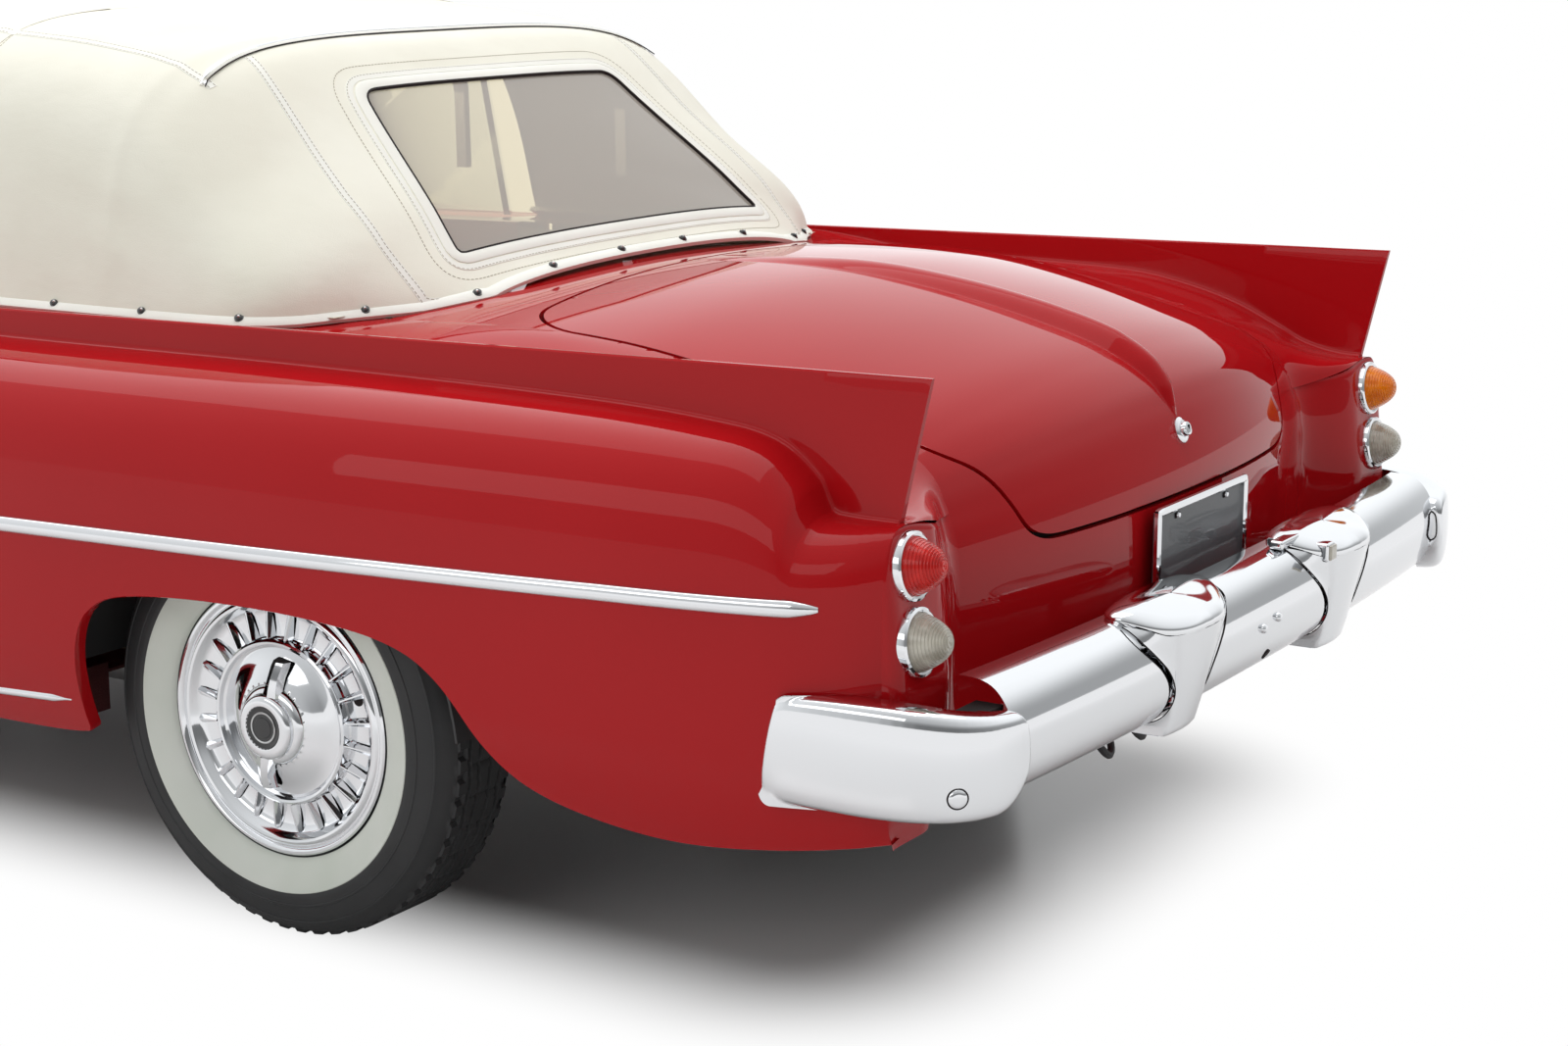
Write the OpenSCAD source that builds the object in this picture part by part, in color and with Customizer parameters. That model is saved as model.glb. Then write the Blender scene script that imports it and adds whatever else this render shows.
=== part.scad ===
// Two-door convertible car with tail fins, soft top up.
// Row frame: +X forward, +Y left, +Z up, origin on the ground under the middle of the car.
// Modules draw in the frame of the rear axle, and placed() moves them into the row frame.

/* [Body] */
// Overall length over the bumpers
car_length = 5170; // [5100:10:5250]
// Distance between the axles
wheelbase = 2921; // [2900:1:2940]
// Rear axle to the rearmost point of the bumper guards
rear_overhang = 1222; // [1222:1:1230]
// Widest half width of the body side
half_width = 990; // [985:1:995]
// Distance of each tail fin from the middle plane
fin_y = 813; // [810:1:816]
// Thickness of the outer panels
skin = 3; // [2:0.5:3.5]

/* [Wheels] */
// Radius of the tyres, which is also the height of the wheel centres
tyre_r = 330; // [326:1:334]
// Inner face of each tyre, measured from the middle plane
tyre_in_y = 720; // [715:1:724]
// Width of the tyres
tyre_w = 190; // [185:1:195]
// Kingpin of each front wheel, measured from the middle plane
kingpin_y = 690; // [686:1:692]

/* [Openings] */
// Gap round the doors and lids
gap = 7; // [6:0.5:8]
// Rear edge of the doors, measured from the rear axle
door_rear = 771; // [768:1:775]
// Front edge of the doors, measured from the rear axle
door_front = 1960; // [1955:1:1965]
// Thickness of the doors at the belt
door_depth = 106; // [100:1:110]
// Half width of the bonnet and boot lid
lid_y = 600; // [598:1:602]

/* [Number plate] */
// Half width of the number plate frame
plate_half = 165; // [160:1:170]
// Spacing of the plate screws across the car
plate_hole_y = 178; // [170:1:180]
// Spacing of the plate screws up the plate
plate_hole_z = 121; // [115:1:122]
// Radius of the plate screw holes
plate_hole_r = 3.5; // [3:0.5:4]

/* [Hidden] */

rear_axle_x = rear_overhang - car_length / 2;
front_end = car_length - rear_overhang;
fin_out = fin_y + 5;
fin_in = fin_y - 5;
shoulder_z = 640;
gutter_y = lid_y + gap;
ledge_z = 735;
paint = [0.61, 0.05, 0.05];
chrome = [0.85, 0.86, 0.88];
canvas = [0.93, 0.9, 0.8];
rubber = [0.05, 0.05, 0.05];
dark = [0.15, 0.15, 0.16];
glass_tint = [0.6, 0.7, 0.7, 0.4];

// Smooth curve through knots [position, value], with the ends held level outside them
function seg(x, k, i = 0) = (i >= len(k) - 2 || x <= k[i + 1][0]) ? i : seg(x, k, i + 1);
function slope(k, i) =
    let (a = max(i - 1, 0), b = min(i + 1, len(k) - 1))
    (k[b][1] - k[a][1]) / (k[b][0] - k[a][0]);
function curve(x0, k) =
    let (x = min(max(x0, k[0][0]), k[len(k) - 1][0]), i = seg(x, k),
        h = k[i + 1][0] - k[i][0], t = (x - k[i][0]) / h,
        a = k[i][1], b = k[i + 1][1], ma = slope(k, i) * h, mb = slope(k, i + 1) * h)
    a * (1 + 2 * t) * (1 - t) ^ 2 + ma * t * (1 - t) ^ 2 + b * t * t * (3 - 2 * t)
    + mb * t * t * (t - 1);
// Straight lines through knots
function ramp(x0, k) =
    let (x = min(max(x0, k[0][0]), k[len(k) - 1][0]), i = seg(x, k))
    k[i][1] + (k[i + 1][1] - k[i][1]) * (x - k[i][0]) / (k[i + 1][0] - k[i][0]);
function smooth(t0) = let (t = min(max(t0, 0), 1)) t * t * (3 - 2 * t);
function flat(list) = [for (a = list, b = a) b];
function unit(v) = v / max(norm(v), 0.000001);
function backwards(list) = [for (i = [len(list) - 1:-1:0]) list[i]];

// Body lines along the car, x measured from the rear axle
width_line = [[-1042, -128], [-977, -85], [-877, -50], [-677, -22], [-377, -7], [0, 0],
    [723, 0], [1523, -5], [2323, -12], [2923, -22], [3323, -45], [3573, -75], [3680, -100]];
shoulder_line = [[-1022, 735], [-927, 736], [-912, 744], [-895, 779], [-835, 822], [-743, 839],
    [-519, 850], [0, 852], [623, 846], [1023, 852], [1423, 868], [1723, 876], [1963, 876],
    [2623, 862], [3323, 835], [3633, 790]];
inner_line = [[-1022, 735], [-967, 738], [-907, 752], [-857, 776], [-777, 812], [-677, 840],
    [-577, 856], [-377, 862], [-177, 864], [-77, 870], [23, 884], [123, 893], [623, 893],
    [1023, 890], [1423, 884], [1963, 880], [2623, 866], [3323, 838], [3633, 793]];
sill_line = [[-1022, 315], [-909, 300], [-755, 284], [-635, 296], [-521, 328], [-455, 380],
    [-390, 467], [-305, 517], [-127, 533], [61, 531], [199, 519], [261, 502], [309, 454],
    [326, 300], [332, 268], [800, 262]];
front_arch = [[-470, 268], [-455, 330], [-430, 420], [-380, 540], [-290, 620], [-150, 668],
    [0, 680], [150, 668], [290, 620], [380, 540], [430, 420], [455, 350], [470, 335]];

function side_y(x) = half_width + curve(x, width_line);
function fin_top(x) = max(905 - 0.0208 * x, curve(x, shoulder_line) + 2);
function fin_foot(x) = min(curve(x, inner_line), fin_top(x) - 1);
function sill_z(x) = x < 1500 ? ramp(x, sill_line) : ramp(x - wheelbase, front_arch);
// The side leans in below z 450
function tuck(z) = z < 450 ? 45 * ((450 - z) / 170) ^ 2 : 0;

// Deck, boot lid and tail: a lengthwise profile at the middle, numbered 0 at the soft top
// to 14 under the tail, with a crown that drops and turns forward towards the sides
deck_x = [[0, 33], [1, -177], [2, -361], [3, -508], [4, -686], [5, -858], [6, -942], [7, -992],
    [8, -1018], [9, -1037], [10, -1052], [11, -1058], [12, -1057], [13, -1042], [14, -1012]];
deck_z = [[0, 930], [1, 941], [2, 946], [3, 940], [4, 914], [5, 874], [6, 842], [7, 808],
    [8, 770], [9, 725], [10, 672], [11, 600], [12, 480], [13, 360], [14, 300]];
deck_drop = [[0, 33], [1, 36], [2, 48], [3, 58], [4, 62], [5, 60], [6, 58], [7, 50], [8, 35],
    [9, 20], [10, 8], [11, 0], [14, 0]];
deck_turn = [[0, -30], [1, -60], [2, -40], [3, -20], [4, 0], [5, 20], [6, 35], [7, 50],
    [8, 60], [9, 66], [10, 68], [12, 68], [14, 50]];
function deck(u, y) = let (q = (y / 600) ^ 2)
    [curve(u, deck_x) + curve(u, deck_turn) * q, y, curve(u, deck_z) - curve(u, deck_drop) * q];

// Lid outline on that surface: front and rear limits for a distance a from the middle
function lid_front(a) = a <= 490 ? 1 : 1 + 0.62 * (1 - sqrt(1 - min((a - 490) / 110, 1) ^ 2));
lid_rear_knots = [[0, 10.4], [380, 10.4], [430, 10.3], [462, 9.95], [478, 9.35], [500, 8.5],
    [535, 7.3], [570, 6.3], [600, 5.1]];
function lid_rear(a) = curve(a, lid_rear_knots);

// Closed panel between an outer grid of points and an inner one
module shell(outer, inner, turn = false) {
    n = len(outer);
    m = len(outer[0]);
    o = n * m;
    quads = concat(
        [for (i = [0:n - 2], j = [0:m - 2])
            [i * m + j, i * m + j + 1, (i + 1) * m + j + 1, (i + 1) * m + j]],
        [for (i = [0:n - 2], j = [0:m - 2])
            [o + i * m + j, o + (i + 1) * m + j, o + (i + 1) * m + j + 1, o + i * m + j + 1]],
        [for (j = [0:m - 2]) [j + 1, j, o + j, o + j + 1]],
        [for (j = [0:m - 2]) let (e = (n - 1) * m + j) [e, e + 1, o + e + 1, o + e]],
        [for (i = [0:n - 2]) [i * m, (i + 1) * m, o + (i + 1) * m, o + i * m]],
        [for (i = [0:n - 2]) let (e = i * m + m - 1) [e + m, e, o + e, o + e + m]]);
    faces = flat([for (q = quads) [[q[0], q[1], q[2]], [q[0], q[2], q[3]]]]);
    polyhedron(concat(flat(outer), flat(inner)),
        [for (f = faces) turn ? backwards(f) : f]);
}
// Closed ring panel, whose rows join end to end
module ring_shell(outer, inner, turn = false) {
    n = len(outer);
    m = len(outer[0]);
    o = n * m;
    quads = concat(
        [for (i = [0:n - 1], j = [0:m - 2]) let (k = (i + 1) % n)
            [i * m + j, i * m + j + 1, k * m + j + 1, k * m + j]],
        [for (i = [0:n - 1], j = [0:m - 2]) let (k = (i + 1) % n)
            [o + i * m + j, o + k * m + j, o + k * m + j + 1, o + i * m + j + 1]],
        [for (i = [0:n - 1]) let (k = (i + 1) % n) [i * m, k * m, o + k * m, o + i * m]],
        [for (i = [0:n - 1]) let (k = (i + 1) % n, e = m - 1)
            [k * m + e, i * m + e, o + i * m + e, o + k * m + e]]);
    faces = flat([for (q = quads) [[q[0], q[1], q[2]], [q[0], q[2], q[3]]]]);
    polyhedron(concat(flat(outer), flat(inner)),
        [for (f = faces) turn ? backwards(f) : f]);
}
// Grid moved along its own normals by t
function moved_in(g, t) =
    let (n = len(g), m = len(g[0]))
    [for (i = [0:n - 1]) [for (j = [0:m - 1])
        let (a = g[min(i + 1, n - 1)][j] - g[max(i - 1, 0)][j],
            b = g[i][min(j + 1, m - 1)] - g[i][max(j - 1, 0)])
        g[i][j] + t * unit(cross(a, b))]];
module placed() translate([rear_axle_x, 0, 0]) children();
module mirrored() mirror([0, 1, 0]) children();
module both_sides() {
    children();
    mirrored() children();
}

// Cross section of a body side from the sill up over the shoulder and fin to the gutter.
// xo and xg are the stations of the outer side and of the gutter, zg the gutter's height.
function side_points(x, z0) = [for (f = [0:0.25:0.99])
    let (z = z0 + (shoulder_z - z0) * f) [x, side_y(x) - tuck(z), z]];
function shoulder_point(x, t) =
    [x, fin_out + (side_y(x) - fin_out) * cos(t) ^ 0.8,
        shoulder_z + (curve(x, shoulder_line) - shoulder_z) * sin(t) ^ 0.8];
function fin_points(x, top) =
    let (foot = fin_foot(x), base = curve(x, shoulder_line),
        lean = 45 * smooth((-x - 700) / 313) / 190)
    [for (p = [[fin_out - 0.5, (base + top) / 2], [fin_out - 1, top], [fin_in + 1, top],
        [fin_in + 0.5, (foot + top) / 2], [fin_in, foot]])
        [x - lean * max(p[1] - ledge_z, 0) * (top > foot + 3 ? 1 : 0), p[0], p[1]]];
function roll_points(xo, xg, zg) =
    let (foot = fin_foot(xo))
    [for (k = [1:6]) let (s = k / 6, y = fin_in + (gutter_y - fin_in) * s,
        b = smooth((y - gutter_y) / 150))
        [xg + (xo - xg) * b, y, foot + (zg - foot) * smooth(s)]];
function section(xo, xg, zg, top) = concat(
    side_points(xo, sill_z(xo)),
    [for (t = [0:15:90]) shoulder_point(xo, t)],
    fin_points(xo, top),
    roll_points(xo, xg, zg));
// Inner face of a side section, one skin further in
function section_in(s, slide) =
    let (m = len(s))
    [for (j = [0:m - 1])
        let (d = s[min(j + 1, m - 1)] - s[max(j - 1, 0)],
            v = unit([0, -d[2], d[1]]))
        s[j] + skin * v + [slide, 0, 0]];

// Outer station that goes with each deck number
tail_station = [[0, 33], [1, -230], [2, -400], [3, -530], [4, -690], [5, -860], [5.45, -898],
    [6, -925], [7, -970], [8, -1013], [9, -1022]];
tail_numbers = concat([for (u = [0:0.5:1.5]) u], [for (u = [1.75:0.25:3]) u],
    [3.5, 4, 4.4, 4.8, 5.1], [for (u = [5.3:0.2:5.9]) u], [6.2, 6.6, 7.2, 8, 9]);
quarter_front = [60, 120, 199, 261, 290, 309, 326, 332, 400, 560, door_rear - gap];
function quarter_rows() = concat(
    [for (x = backwards(quarter_front)) section(x, x, deck(0, gutter_y)[2], fin_top(x))],
    [for (u = tail_numbers)
        let (g = deck(u, gutter_y), x = curve(u, tail_station))
        section(x, g[0], g[2], u > 8.5 ? ledge_z + 0.6 : fin_top(x))]);

module quarter() {
    rows = quarter_rows();
    shell(rows, [for (r = rows) section_in(r, r[0][0] < -880 ? 4 : 0)]);
}
module quarter_left() color(paint) placed() quarter();
module quarter_right() color(paint) placed() mirrored() quarter();

// Bonnet surface
bonnet_rear = 2180;
bonnet_front = 3620;
bonnet_line = [[2000, 938], [2180, 930], [2523, 925], [2923, 905], [3323, 870], [3520, 832],
    [3620, 795]];
function bonnet_z(x, y) = curve(x, bonnet_line) - 45 * (y / 600) ^ 2;

fender_end = 3620;
fender_stations = concat([door_front + gap, 2050, 2200, 2340, 2440],
    [for (d = [-469, -455, -430, -380, -290, -150, 0, 150, 290, 380, 430, 455, 470])
        wheelbase + d],
    [3450, 3520, 3580, fender_end]);
function fender_row(x) = section(x, x, bonnet_z(x, gutter_y), fin_foot(x) + 1);
module fender() {
    rows = [for (x = fender_stations) fender_row(x)];
    shell(rows, [for (r = rows) section_in(r, 0)], true);
}
module fender_left() color(paint) placed() fender();
module fender_right() color(paint) placed() mirrored() fender();

// Transverse panels of the deck, columns from right to left
function spread(half, list) = concat([for (y = backwards(list)) -y], [0], list);
lid_columns = [70, 150, 230, 310, 380, 430, 462, 478, 500, 535, 565, 590, lid_y];
wide_columns = concat([100, 200, 300, 400, 490, 530, 565, 590], [lid_y]);

module deck_panel() color(paint) placed() {
    step = gap / 190;
    columns = spread(lid_y, wide_columns);
    rows = [for (k = [0:5]) [for (y = columns) deck((lid_front(abs(y)) - step) * k / 5, y)]];
    shell(rows, moved_in(rows, skin), true);
}
module boot_lid() color(paint) placed() {
    rows = [for (k = [0:14]) [for (y = spread(lid_y, lid_columns))
        let (a = abs(y), f = lid_front(a), s = k / 14)
        deck(f + (lid_rear(a) - f) * s, y)]];
    shell(rows, moved_in(rows, skin), true);
}

// Tail below and beside the boot lid, with the ends that carry the lamps
function pod_x(z) = -1022 - 18 * min(max((ledge_z - z) / 150, 0), 1.4)
    + 30 * smooth((430 - z) / 130);
function pod_edge(z) = z > shoulder_z
    ? fin_out + (side_y(-1022) - fin_out) * (1 - ((z - shoulder_z) / (ledge_z - shoulder_z)) ^ 2.5) ^ 0.4
    : side_y(-1022) - tuck(z);
tail_low = 305;
function tail_side_point(t, s) =
    let (g = deck(9, gutter_y), top = g[2] + (ledge_z - g[2]) * smooth(t * 1.05),
        z = top - 9 + (tail_low + 9 - top) * s, edge = pod_edge(z),
        y = gutter_y - 2 + (edge - gutter_y - 4.5) * t,
        inner = tail_inner_x(z), pod = pod_x(z),
        b = smooth((y - gutter_y) / 150), c = max(y - edge + 32, 0) / 32)
    [inner + (pod - inner) * b + (-1022 - pod) * c ^ 2, y, z];
// Station of the deck surface at the gutter for a height z on the tail
function tail_inner_x(z) = ramp(-z, [for (u = [9:0.5:14]) let (p = deck(u, gutter_y)) [-p[2], p[0]]]);
function tail_column(y) =
    let (a = abs(y), f = lid_rear(a) + gap / 60)
    [for (k = [0:8]) deck(f + (13.95 - f) * k / 8, y)];
module tail_panel() color(paint) placed() {
    side = [for (t = [0, 0.15, 0.3, 0.45, 0.6, 0.75, 0.87, 0.94, 1])
        [for (k = [0:8]) tail_side_point(t, k / 8)]];
    middle = [for (y = spread(gutter_y, concat([80, 160, 240, 320, 380, 430, 462, 478, 500,
        535, 565, 590], [gutter_y - 4]))) tail_column(y)];
    other = [for (c = backwards(side)) [for (p = c) [p[0], -p[1], p[2]]]];
    rows = concat(other, middle, side);
    shell(rows, moved_in(rows, -skin));
}

module cowl_panel() color(paint) placed() {
    rows = [for (x = [2040, 2080, 2130, bonnet_rear - gap])
        [for (y = spread(lid_y, wide_columns)) [x, y, bonnet_z(x, y)]]];
    shell(rows, moved_in(rows, -skin));
}
module bonnet() color(paint) placed() {
    rows = [for (k = [0:11]) let (x = bonnet_rear + (bonnet_front - bonnet_rear) * k / 11)
        [for (y = spread(lid_y, wide_columns)) [x, y, bonnet_z(x, y)]]];
    shell(rows, moved_in(rows, -skin));
}

// Nose: rings from the oval grille opening out to the fenders and bonnet
nose_z = 565;
nose_half = 892;
nose_height = 222;
grille_half = 470;
grille_height = 105;
headlamp_y = 735;
headlamp_z = 655;
headlamp_r = 98;
function oval(a, half, height, n) =
    [half * sign(cos(a)) * abs(cos(a)) ^ (2 / n), height * sign(sin(a)) * abs(sin(a)) ^ (2 / n)];
module nose_panel() color(paint) placed() {
    rows = [for (a = [4:8:359]) [for (k = [0:7])
        let (s = k / 7, i = oval(a, grille_half, grille_height, 2.3),
            o = oval(a, nose_half, nose_height, 5), p = i + (o - i) * s,
            r = ((abs(p[0]) / nose_half) ^ 5 + (abs(p[1]) / nose_height) ^ 5) ^ 0.2)
        [fender_end + 10 + 190 * (1 - r ^ 5), p[0], nose_z + p[1]]]];
    difference() {
        ring_shell(rows, moved_in(rows, skin), true);
        both_sides() translate([3500, headlamp_y, headlamp_z]) rotate([0, 90, 0])
            cylinder(r = headlamp_r + 2, h = 500, $fn = 48);
    }
}
module headlamps() color(chrome) placed() both_sides()
    translate([3700, headlamp_y, headlamp_z]) rotate([0, 90, 0]) rotate_extrude($fn = 48)
        polygon([[0, 0], [headlamp_r - 20, 0], [headlamp_r, 25], [headlamp_r, 92],
            [headlamp_r - 10, 100], [headlamp_r - 14, 88], [40, 100], [0, 104]]);
module grille() color(chrome) placed() {
    translate([3760, 0, nose_z]) rotate([90, 0, 90]) {
        linear_extrude(32) difference() {
            polygon([for (a = [0:7.5:359]) oval(a, grille_half - 6, grille_height - 6, 2.3)]);
            polygon([for (a = [0:7.5:359]) oval(a, grille_half - 26, grille_height - 26, 2.3)]);
        }
        translate([-grille_half + 30, -9, 6]) cube([2 * grille_half - 60, 18, 14]);
        for (i = [-7:7]) translate([i * 52 - 5, -sqrt(1 - (i * 52 / 450) ^ 2) * 84, 8])
            cube([10, 2 * sqrt(1 - (i * 52 / 450) ^ 2) * 84, 10]);
    }
}

// Doors, solid from the outer skin to the inner trim
door_low = 346;
function door_outer(x) =
    let (s = section(x, x, 893, fin_top(x)))
    concat([for (f = [0:0.25:0.99]) let (z = door_low + (shoulder_z - door_low) * f)
        [x, side_y(x) - tuck(z), z]],
        [for (j = [4:len(s) - 7]) s[j]]);
module door() {
    stations = [door_rear, 803, 880, 980, 1080, 1180, 1280, 1400, 1520, 1640, 1760, 1880, door_front];
    outer = [for (x = stations) door_outer(x)];
    m = len(outer[0]);
    inner = [for (r = outer) [for (j = [0:m - 1])
        [r[0][0] + 32 * max(0, 1 - (r[0][0] - door_rear) / 130), fin_out - door_depth,
            door_low + (fin_foot(r[0][0]) - 1 - door_low) * j / (m - 1)]]];
    shell(outer, inner, true);
}
module door_left() color(paint) placed() door();
module door_right() color(paint) placed() mirrored() door();

// Windscreen surface: s runs across from -1 to 1, v from the cowl up to the header
function screen_point(s, v) =
    let (bow = abs(s) ^ 3, top = smooth(v) * 0.25 + v * 0.75)
    [2120 - 400 * v - 130 * bow * (1 - 0.25 * v), s * (735 - 115 * v),
        962 + 326 * top - bow * (55 + 9 * v)];
function screen_grid(s0, s1, n, v0, v1, m) =
    [for (i = [0:n]) [for (k = [0:m])
        screen_point(s0 + (s1 - s0) * i / n, v0 + (v1 - v0) * k / m)]];
module screen_part(s0, s1, n, v0, v1, m, t) {
    g = screen_grid(s0, s1, n, v0, v1, m);
    shell(moved_in(g, t / 2), moved_in(g, -t / 2));
}
module windshield() color(glass_tint) placed() screen_part(-0.955, 0.955, 16, 0.055, 0.945, 4, 6);
module windshield_frame() color(chrome) placed() {
    screen_part(-1, -0.96, 1, 0, 1, 6, 24);
    screen_part(0.96, 1, 1, 0, 1, 6, 24);
    screen_part(-0.959, 0.959, 16, 0.95, 1, 1, 24);
    screen_part(-0.959, 0.959, 16, 0, 0.05, 1, 24);
}

// Soft top: cross sections from the header back to the deck
top_stations = [1700, 1640, 1400, 1100, 900, 780, 740, 650, 500, 400, 345, 290, 220,
    150, 110, 70, 30, 0, -30, -58];
top_crown = [[-58, 952], [-30, 972], [10, 1006], [70, 1057], [220, 1183], [345, 1283],
    [400, 1300], [500, 1315], [650, 1334], [900, 1348], [1200, 1350], [1500, 1340], [1700, 1322]];
top_half = [[-60, 486], [-14, 560], [36, 640], [80, 728], [130, 772], [220, 788], [500, 790],
    [740, 786], [1700, 740]];
top_square = [[-58, 2.3], [70, 2.5], [220, 2.8], [345, 3.9], [500, 5.5], [1700, 6]];
top_edge = [[-58, 922], [-14, 910], [80, 904], [740, 898], [779, 898], [780, 1262], [1700, 1262]];
function top_section(x, t) =
    let (zc = curve(x, top_crown) - t, b = 890, n = curve(x, top_square),
        half = curve(x, top_half) - t, e = ramp(x, top_edge),
        a0 = asin(min((max(e - b, 1) / (zc - b)) ^ (n / 2), 0.98)))
    [for (k = [-14:14])
        let (a = 90 + (90 - a0) * k / 14, c = abs(cos(a)) ^ (2 / n), h = sin(a) ^ (2 / n),
            z = b + (zc - b) * h)
        [x + t * 0.8 * smooth((345 - x) / 60), sign(k) * (half - 70 * h * (zc - b) / 450) * c, z]];
module soft_top() color(canvas) placed() difference() {
    shell([for (x = top_stations) top_section(x, 0)], [for (x = top_stations) top_section(x, 10)], true);
    window_frame() translate([0, 0, -60]) linear_extrude(140) window_outline(0);
}
// Plane of the rear window, its own x across the car and y up the slope
window_low = [10, 970];
window_high = [274, 1217];
window_slope = atan2(window_high[1] - window_low[1], window_high[0] - window_low[0]);
window_rise = norm(window_high - window_low);
module window_frame() translate([window_low[0], 0, window_low[1]])
    rotate([0, -window_slope, 0]) rotate([0, 0, 90]) mirror([0, 1, 0]) children();
module window_outline(inset) polygon(concat(
    [[-433 + inset, inset], [433 - inset, inset]],
    [for (a = [0:22.5:90]) [344 - inset - 40 + 40 * cos(a), window_rise - inset - 40 + 40 * sin(a)]],
    [for (a = [90:22.5:180]) [-344 + inset + 40 + 40 * cos(a), window_rise - inset - 40 + 40 * sin(a)]]));
module rear_window() color([0.55, 0.45, 0.35, 0.5]) placed() window_frame()
    translate([0, 0, 8]) linear_extrude(4) window_outline(2);
module bow(x, high, half) translate([x, 0, 0]) rotate([90, 0, 90]) linear_extrude(24)
    polygon(concat(
        [for (a = [0:10:180]) [half * sign(cos(a)) * abs(cos(a)) ^ 0.4, 1000 + (high - 1000) * sin(a) ^ 0.4]],
        [for (a = [180:-10:0]) [(half - 16) * sign(cos(a)) * abs(cos(a)) ^ 0.4,
            1000 + (high - 1016) * sin(a) ^ 0.4]]));
module top_bows() color(dark) placed() {
    bow(420, 1275, 620);
    bow(800, 1318, 600);
    bow(1250, 1325, 600);
}

// Bumpers
bar_section = [[-1122, 540], [-1160, 532], [-1182, 511], [-1194, 480], [-1196, 448],
    [-1190, 412], [-1172, 384], [-1140, 370], [-1122, 368]];
module bumper_bar(half, sweep) {
    rows = [for (k = [-10:10]) let (y = half * k / 10)
        [for (p = bar_section) [p[0] + sweep * (y / half) ^ 2, y, p[1]]]];
    shell(rows, moved_in(rows, -4));
}
module rear_bumper_bar() color(chrome) placed() bumper_bar(772, 14);
// Wrapped bumper end: points in plan with the height of the top edge, and a rounded section
end_path = [[-905, 939, 522], [-960, 943, 524], [-1030, 939, 525], [-1090, 925, 522],
    [-1116, 912, 519], [-1138, 896, 515], [-1156, 876, 510], [-1168, 852, 507], [-1177, 820, 504],
    [-1181, 779, 502]];
end_section = [[48, 1], [14, 1], [3, 0.92], [0, 0.7], [0, -0.2], [4, -0.65], [14, -0.95], [40, -1]];
function end_point(i, p) =
    let (a = end_path[max(i - 1, 0)], b = end_path[min(i + 1, len(end_path) - 1)],
        e = end_path[i], d = unit([b[0] - a[0], b[1] - a[1]]),
        deep = min(p[0], max((e[1] - side_y(e[0]) - 9) * (e[0] > -1040 ? 1 : 50), 0.5)),
        middle = 442, z = p[1] > 0 ? middle + (e[2] - middle) * p[1] : middle + 70 * p[1])
    [e[0] - d[1] * deep, e[1] + d[0] * deep, z];
module rear_bumper_ends() color(chrome) placed() both_sides() {
    rows = [for (i = [0:len(end_path) - 1]) [for (p = end_section) end_point(i, p)]];
    shell(rows, moved_in(rows, 4), true);
}
module guard() hull() {
    translate([-1222, 204, 486]) cube([10, 172, 8]);
    translate([-1182, 240, 355]) cube([10, 96, 4]);
    translate([-1200, 212, 526]) cube([60, 156, 12]);
    translate([-1203, 240, 355]) cube([6, 96, 4]);
}
module rear_bumper_guards() color(chrome) placed() both_sides() {
    difference() {
        guard();
        translate([-1202, 100, 300]) cube([90, 400, 242]);
    }
    translate([-1201, 216, 543]) cube([96, 148, 6]);
    translate([-1207, 216, 515]) cube([7, 148, 34]);
}
module front_bumper() color(chrome) placed() {
    translate([front_end - 1222, 0, -30]) mirror([1, 0, 0]) bumper_bar(880, 60);
    both_sides() translate([front_end - 48, 300, 320]) cube([48, 90, 215]);
}

// Bullet lamps lying on the leaning face of the pods
module tail_lamps() color([0.8, 0.1, 0.1]) placed() both_sides() for (p = [[814, 681], [818, 583]])
    translate([pod_x(p[1]) - 1, p[0], p[1]]) rotate([0, atan(18 / 150) - 90, 0]) rotate_extrude($fn = 48)
        polygon([[0, 0], [43, 0], [43, 9], [37, 12], [33, 24], [22, 38], [8, 46], [0, 47]]);

module number_plate() color(dark) placed() difference() {
    translate([-1074, -plate_half, 481]) cube([8, 2 * plate_half, 160]);
    for (y = [-1, 1], z = [-1, 1])
        translate([-1080, y * plate_hole_y / 2, 561 + z * plate_hole_z / 2]) rotate([0, 90, 0])
            cylinder(r = plate_hole_r, h = 20, $fn = 32);
}

// Chassis rails with a kick-up over the rear axle
rail_y = 430;
rail_w = 80;
module chassis_frame() color(dark) placed() {
    both_sides() translate([0, rail_y + rail_w / 2, 0]) rotate([90, 0, 0]) linear_extrude(rail_w)
        polygon([[-960, 375], [-300, 375], [-225, 455], [190, 455], [286, 316], [2500, 316],
            [2650, 330], [3700, 330], [3700, 230], [2650, 230], [2500, 220], [240, 220],
            [130, 390], [-130, 390], [-230, 290], [-960, 290]]);
    for (x = [-900, 620, 1700, 3560])
        translate([x, -rail_y + rail_w / 2, x < 0 ? 300 : 240])
            cube([80, 2 * rail_y - rail_w, 60]);
}
module floor_pan() color(dark) placed() {
    translate([440, -800, 322]) cube([1900, 1600, 5]);
    translate([-300, -590, 462]) cube([600, 1180, 5]);
    translate([300, -590, 322]) cube([140, 1180, 5]);
    translate([295, -590, 322]) cube([5, 1180, 145]);
    translate([-940, -590, 382]) cube([620, 1180, 5]);
    translate([-320, -590, 382]) cube([20, 1180, 85]);
    both_sides() translate([440, 800, 262]) cube([1900, 110, 77]);
    translate([120, -590, 467]) cube([5, 1180, 400]);
}
module arch(r, y0, y1, low) rotate([-90, 0, 0]) intersection() {
    difference() {
        translate([0, 0, y0]) cylinder(r = r, h = y1 - y0, $fn = 96);
        translate([0, 0, y0 + 4]) cylinder(r = r - 4, h = y1 - y0, $fn = 96);
    }
    translate([-600, -600, 0]) cube([1200, 600 - low, 1200]);
}
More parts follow.
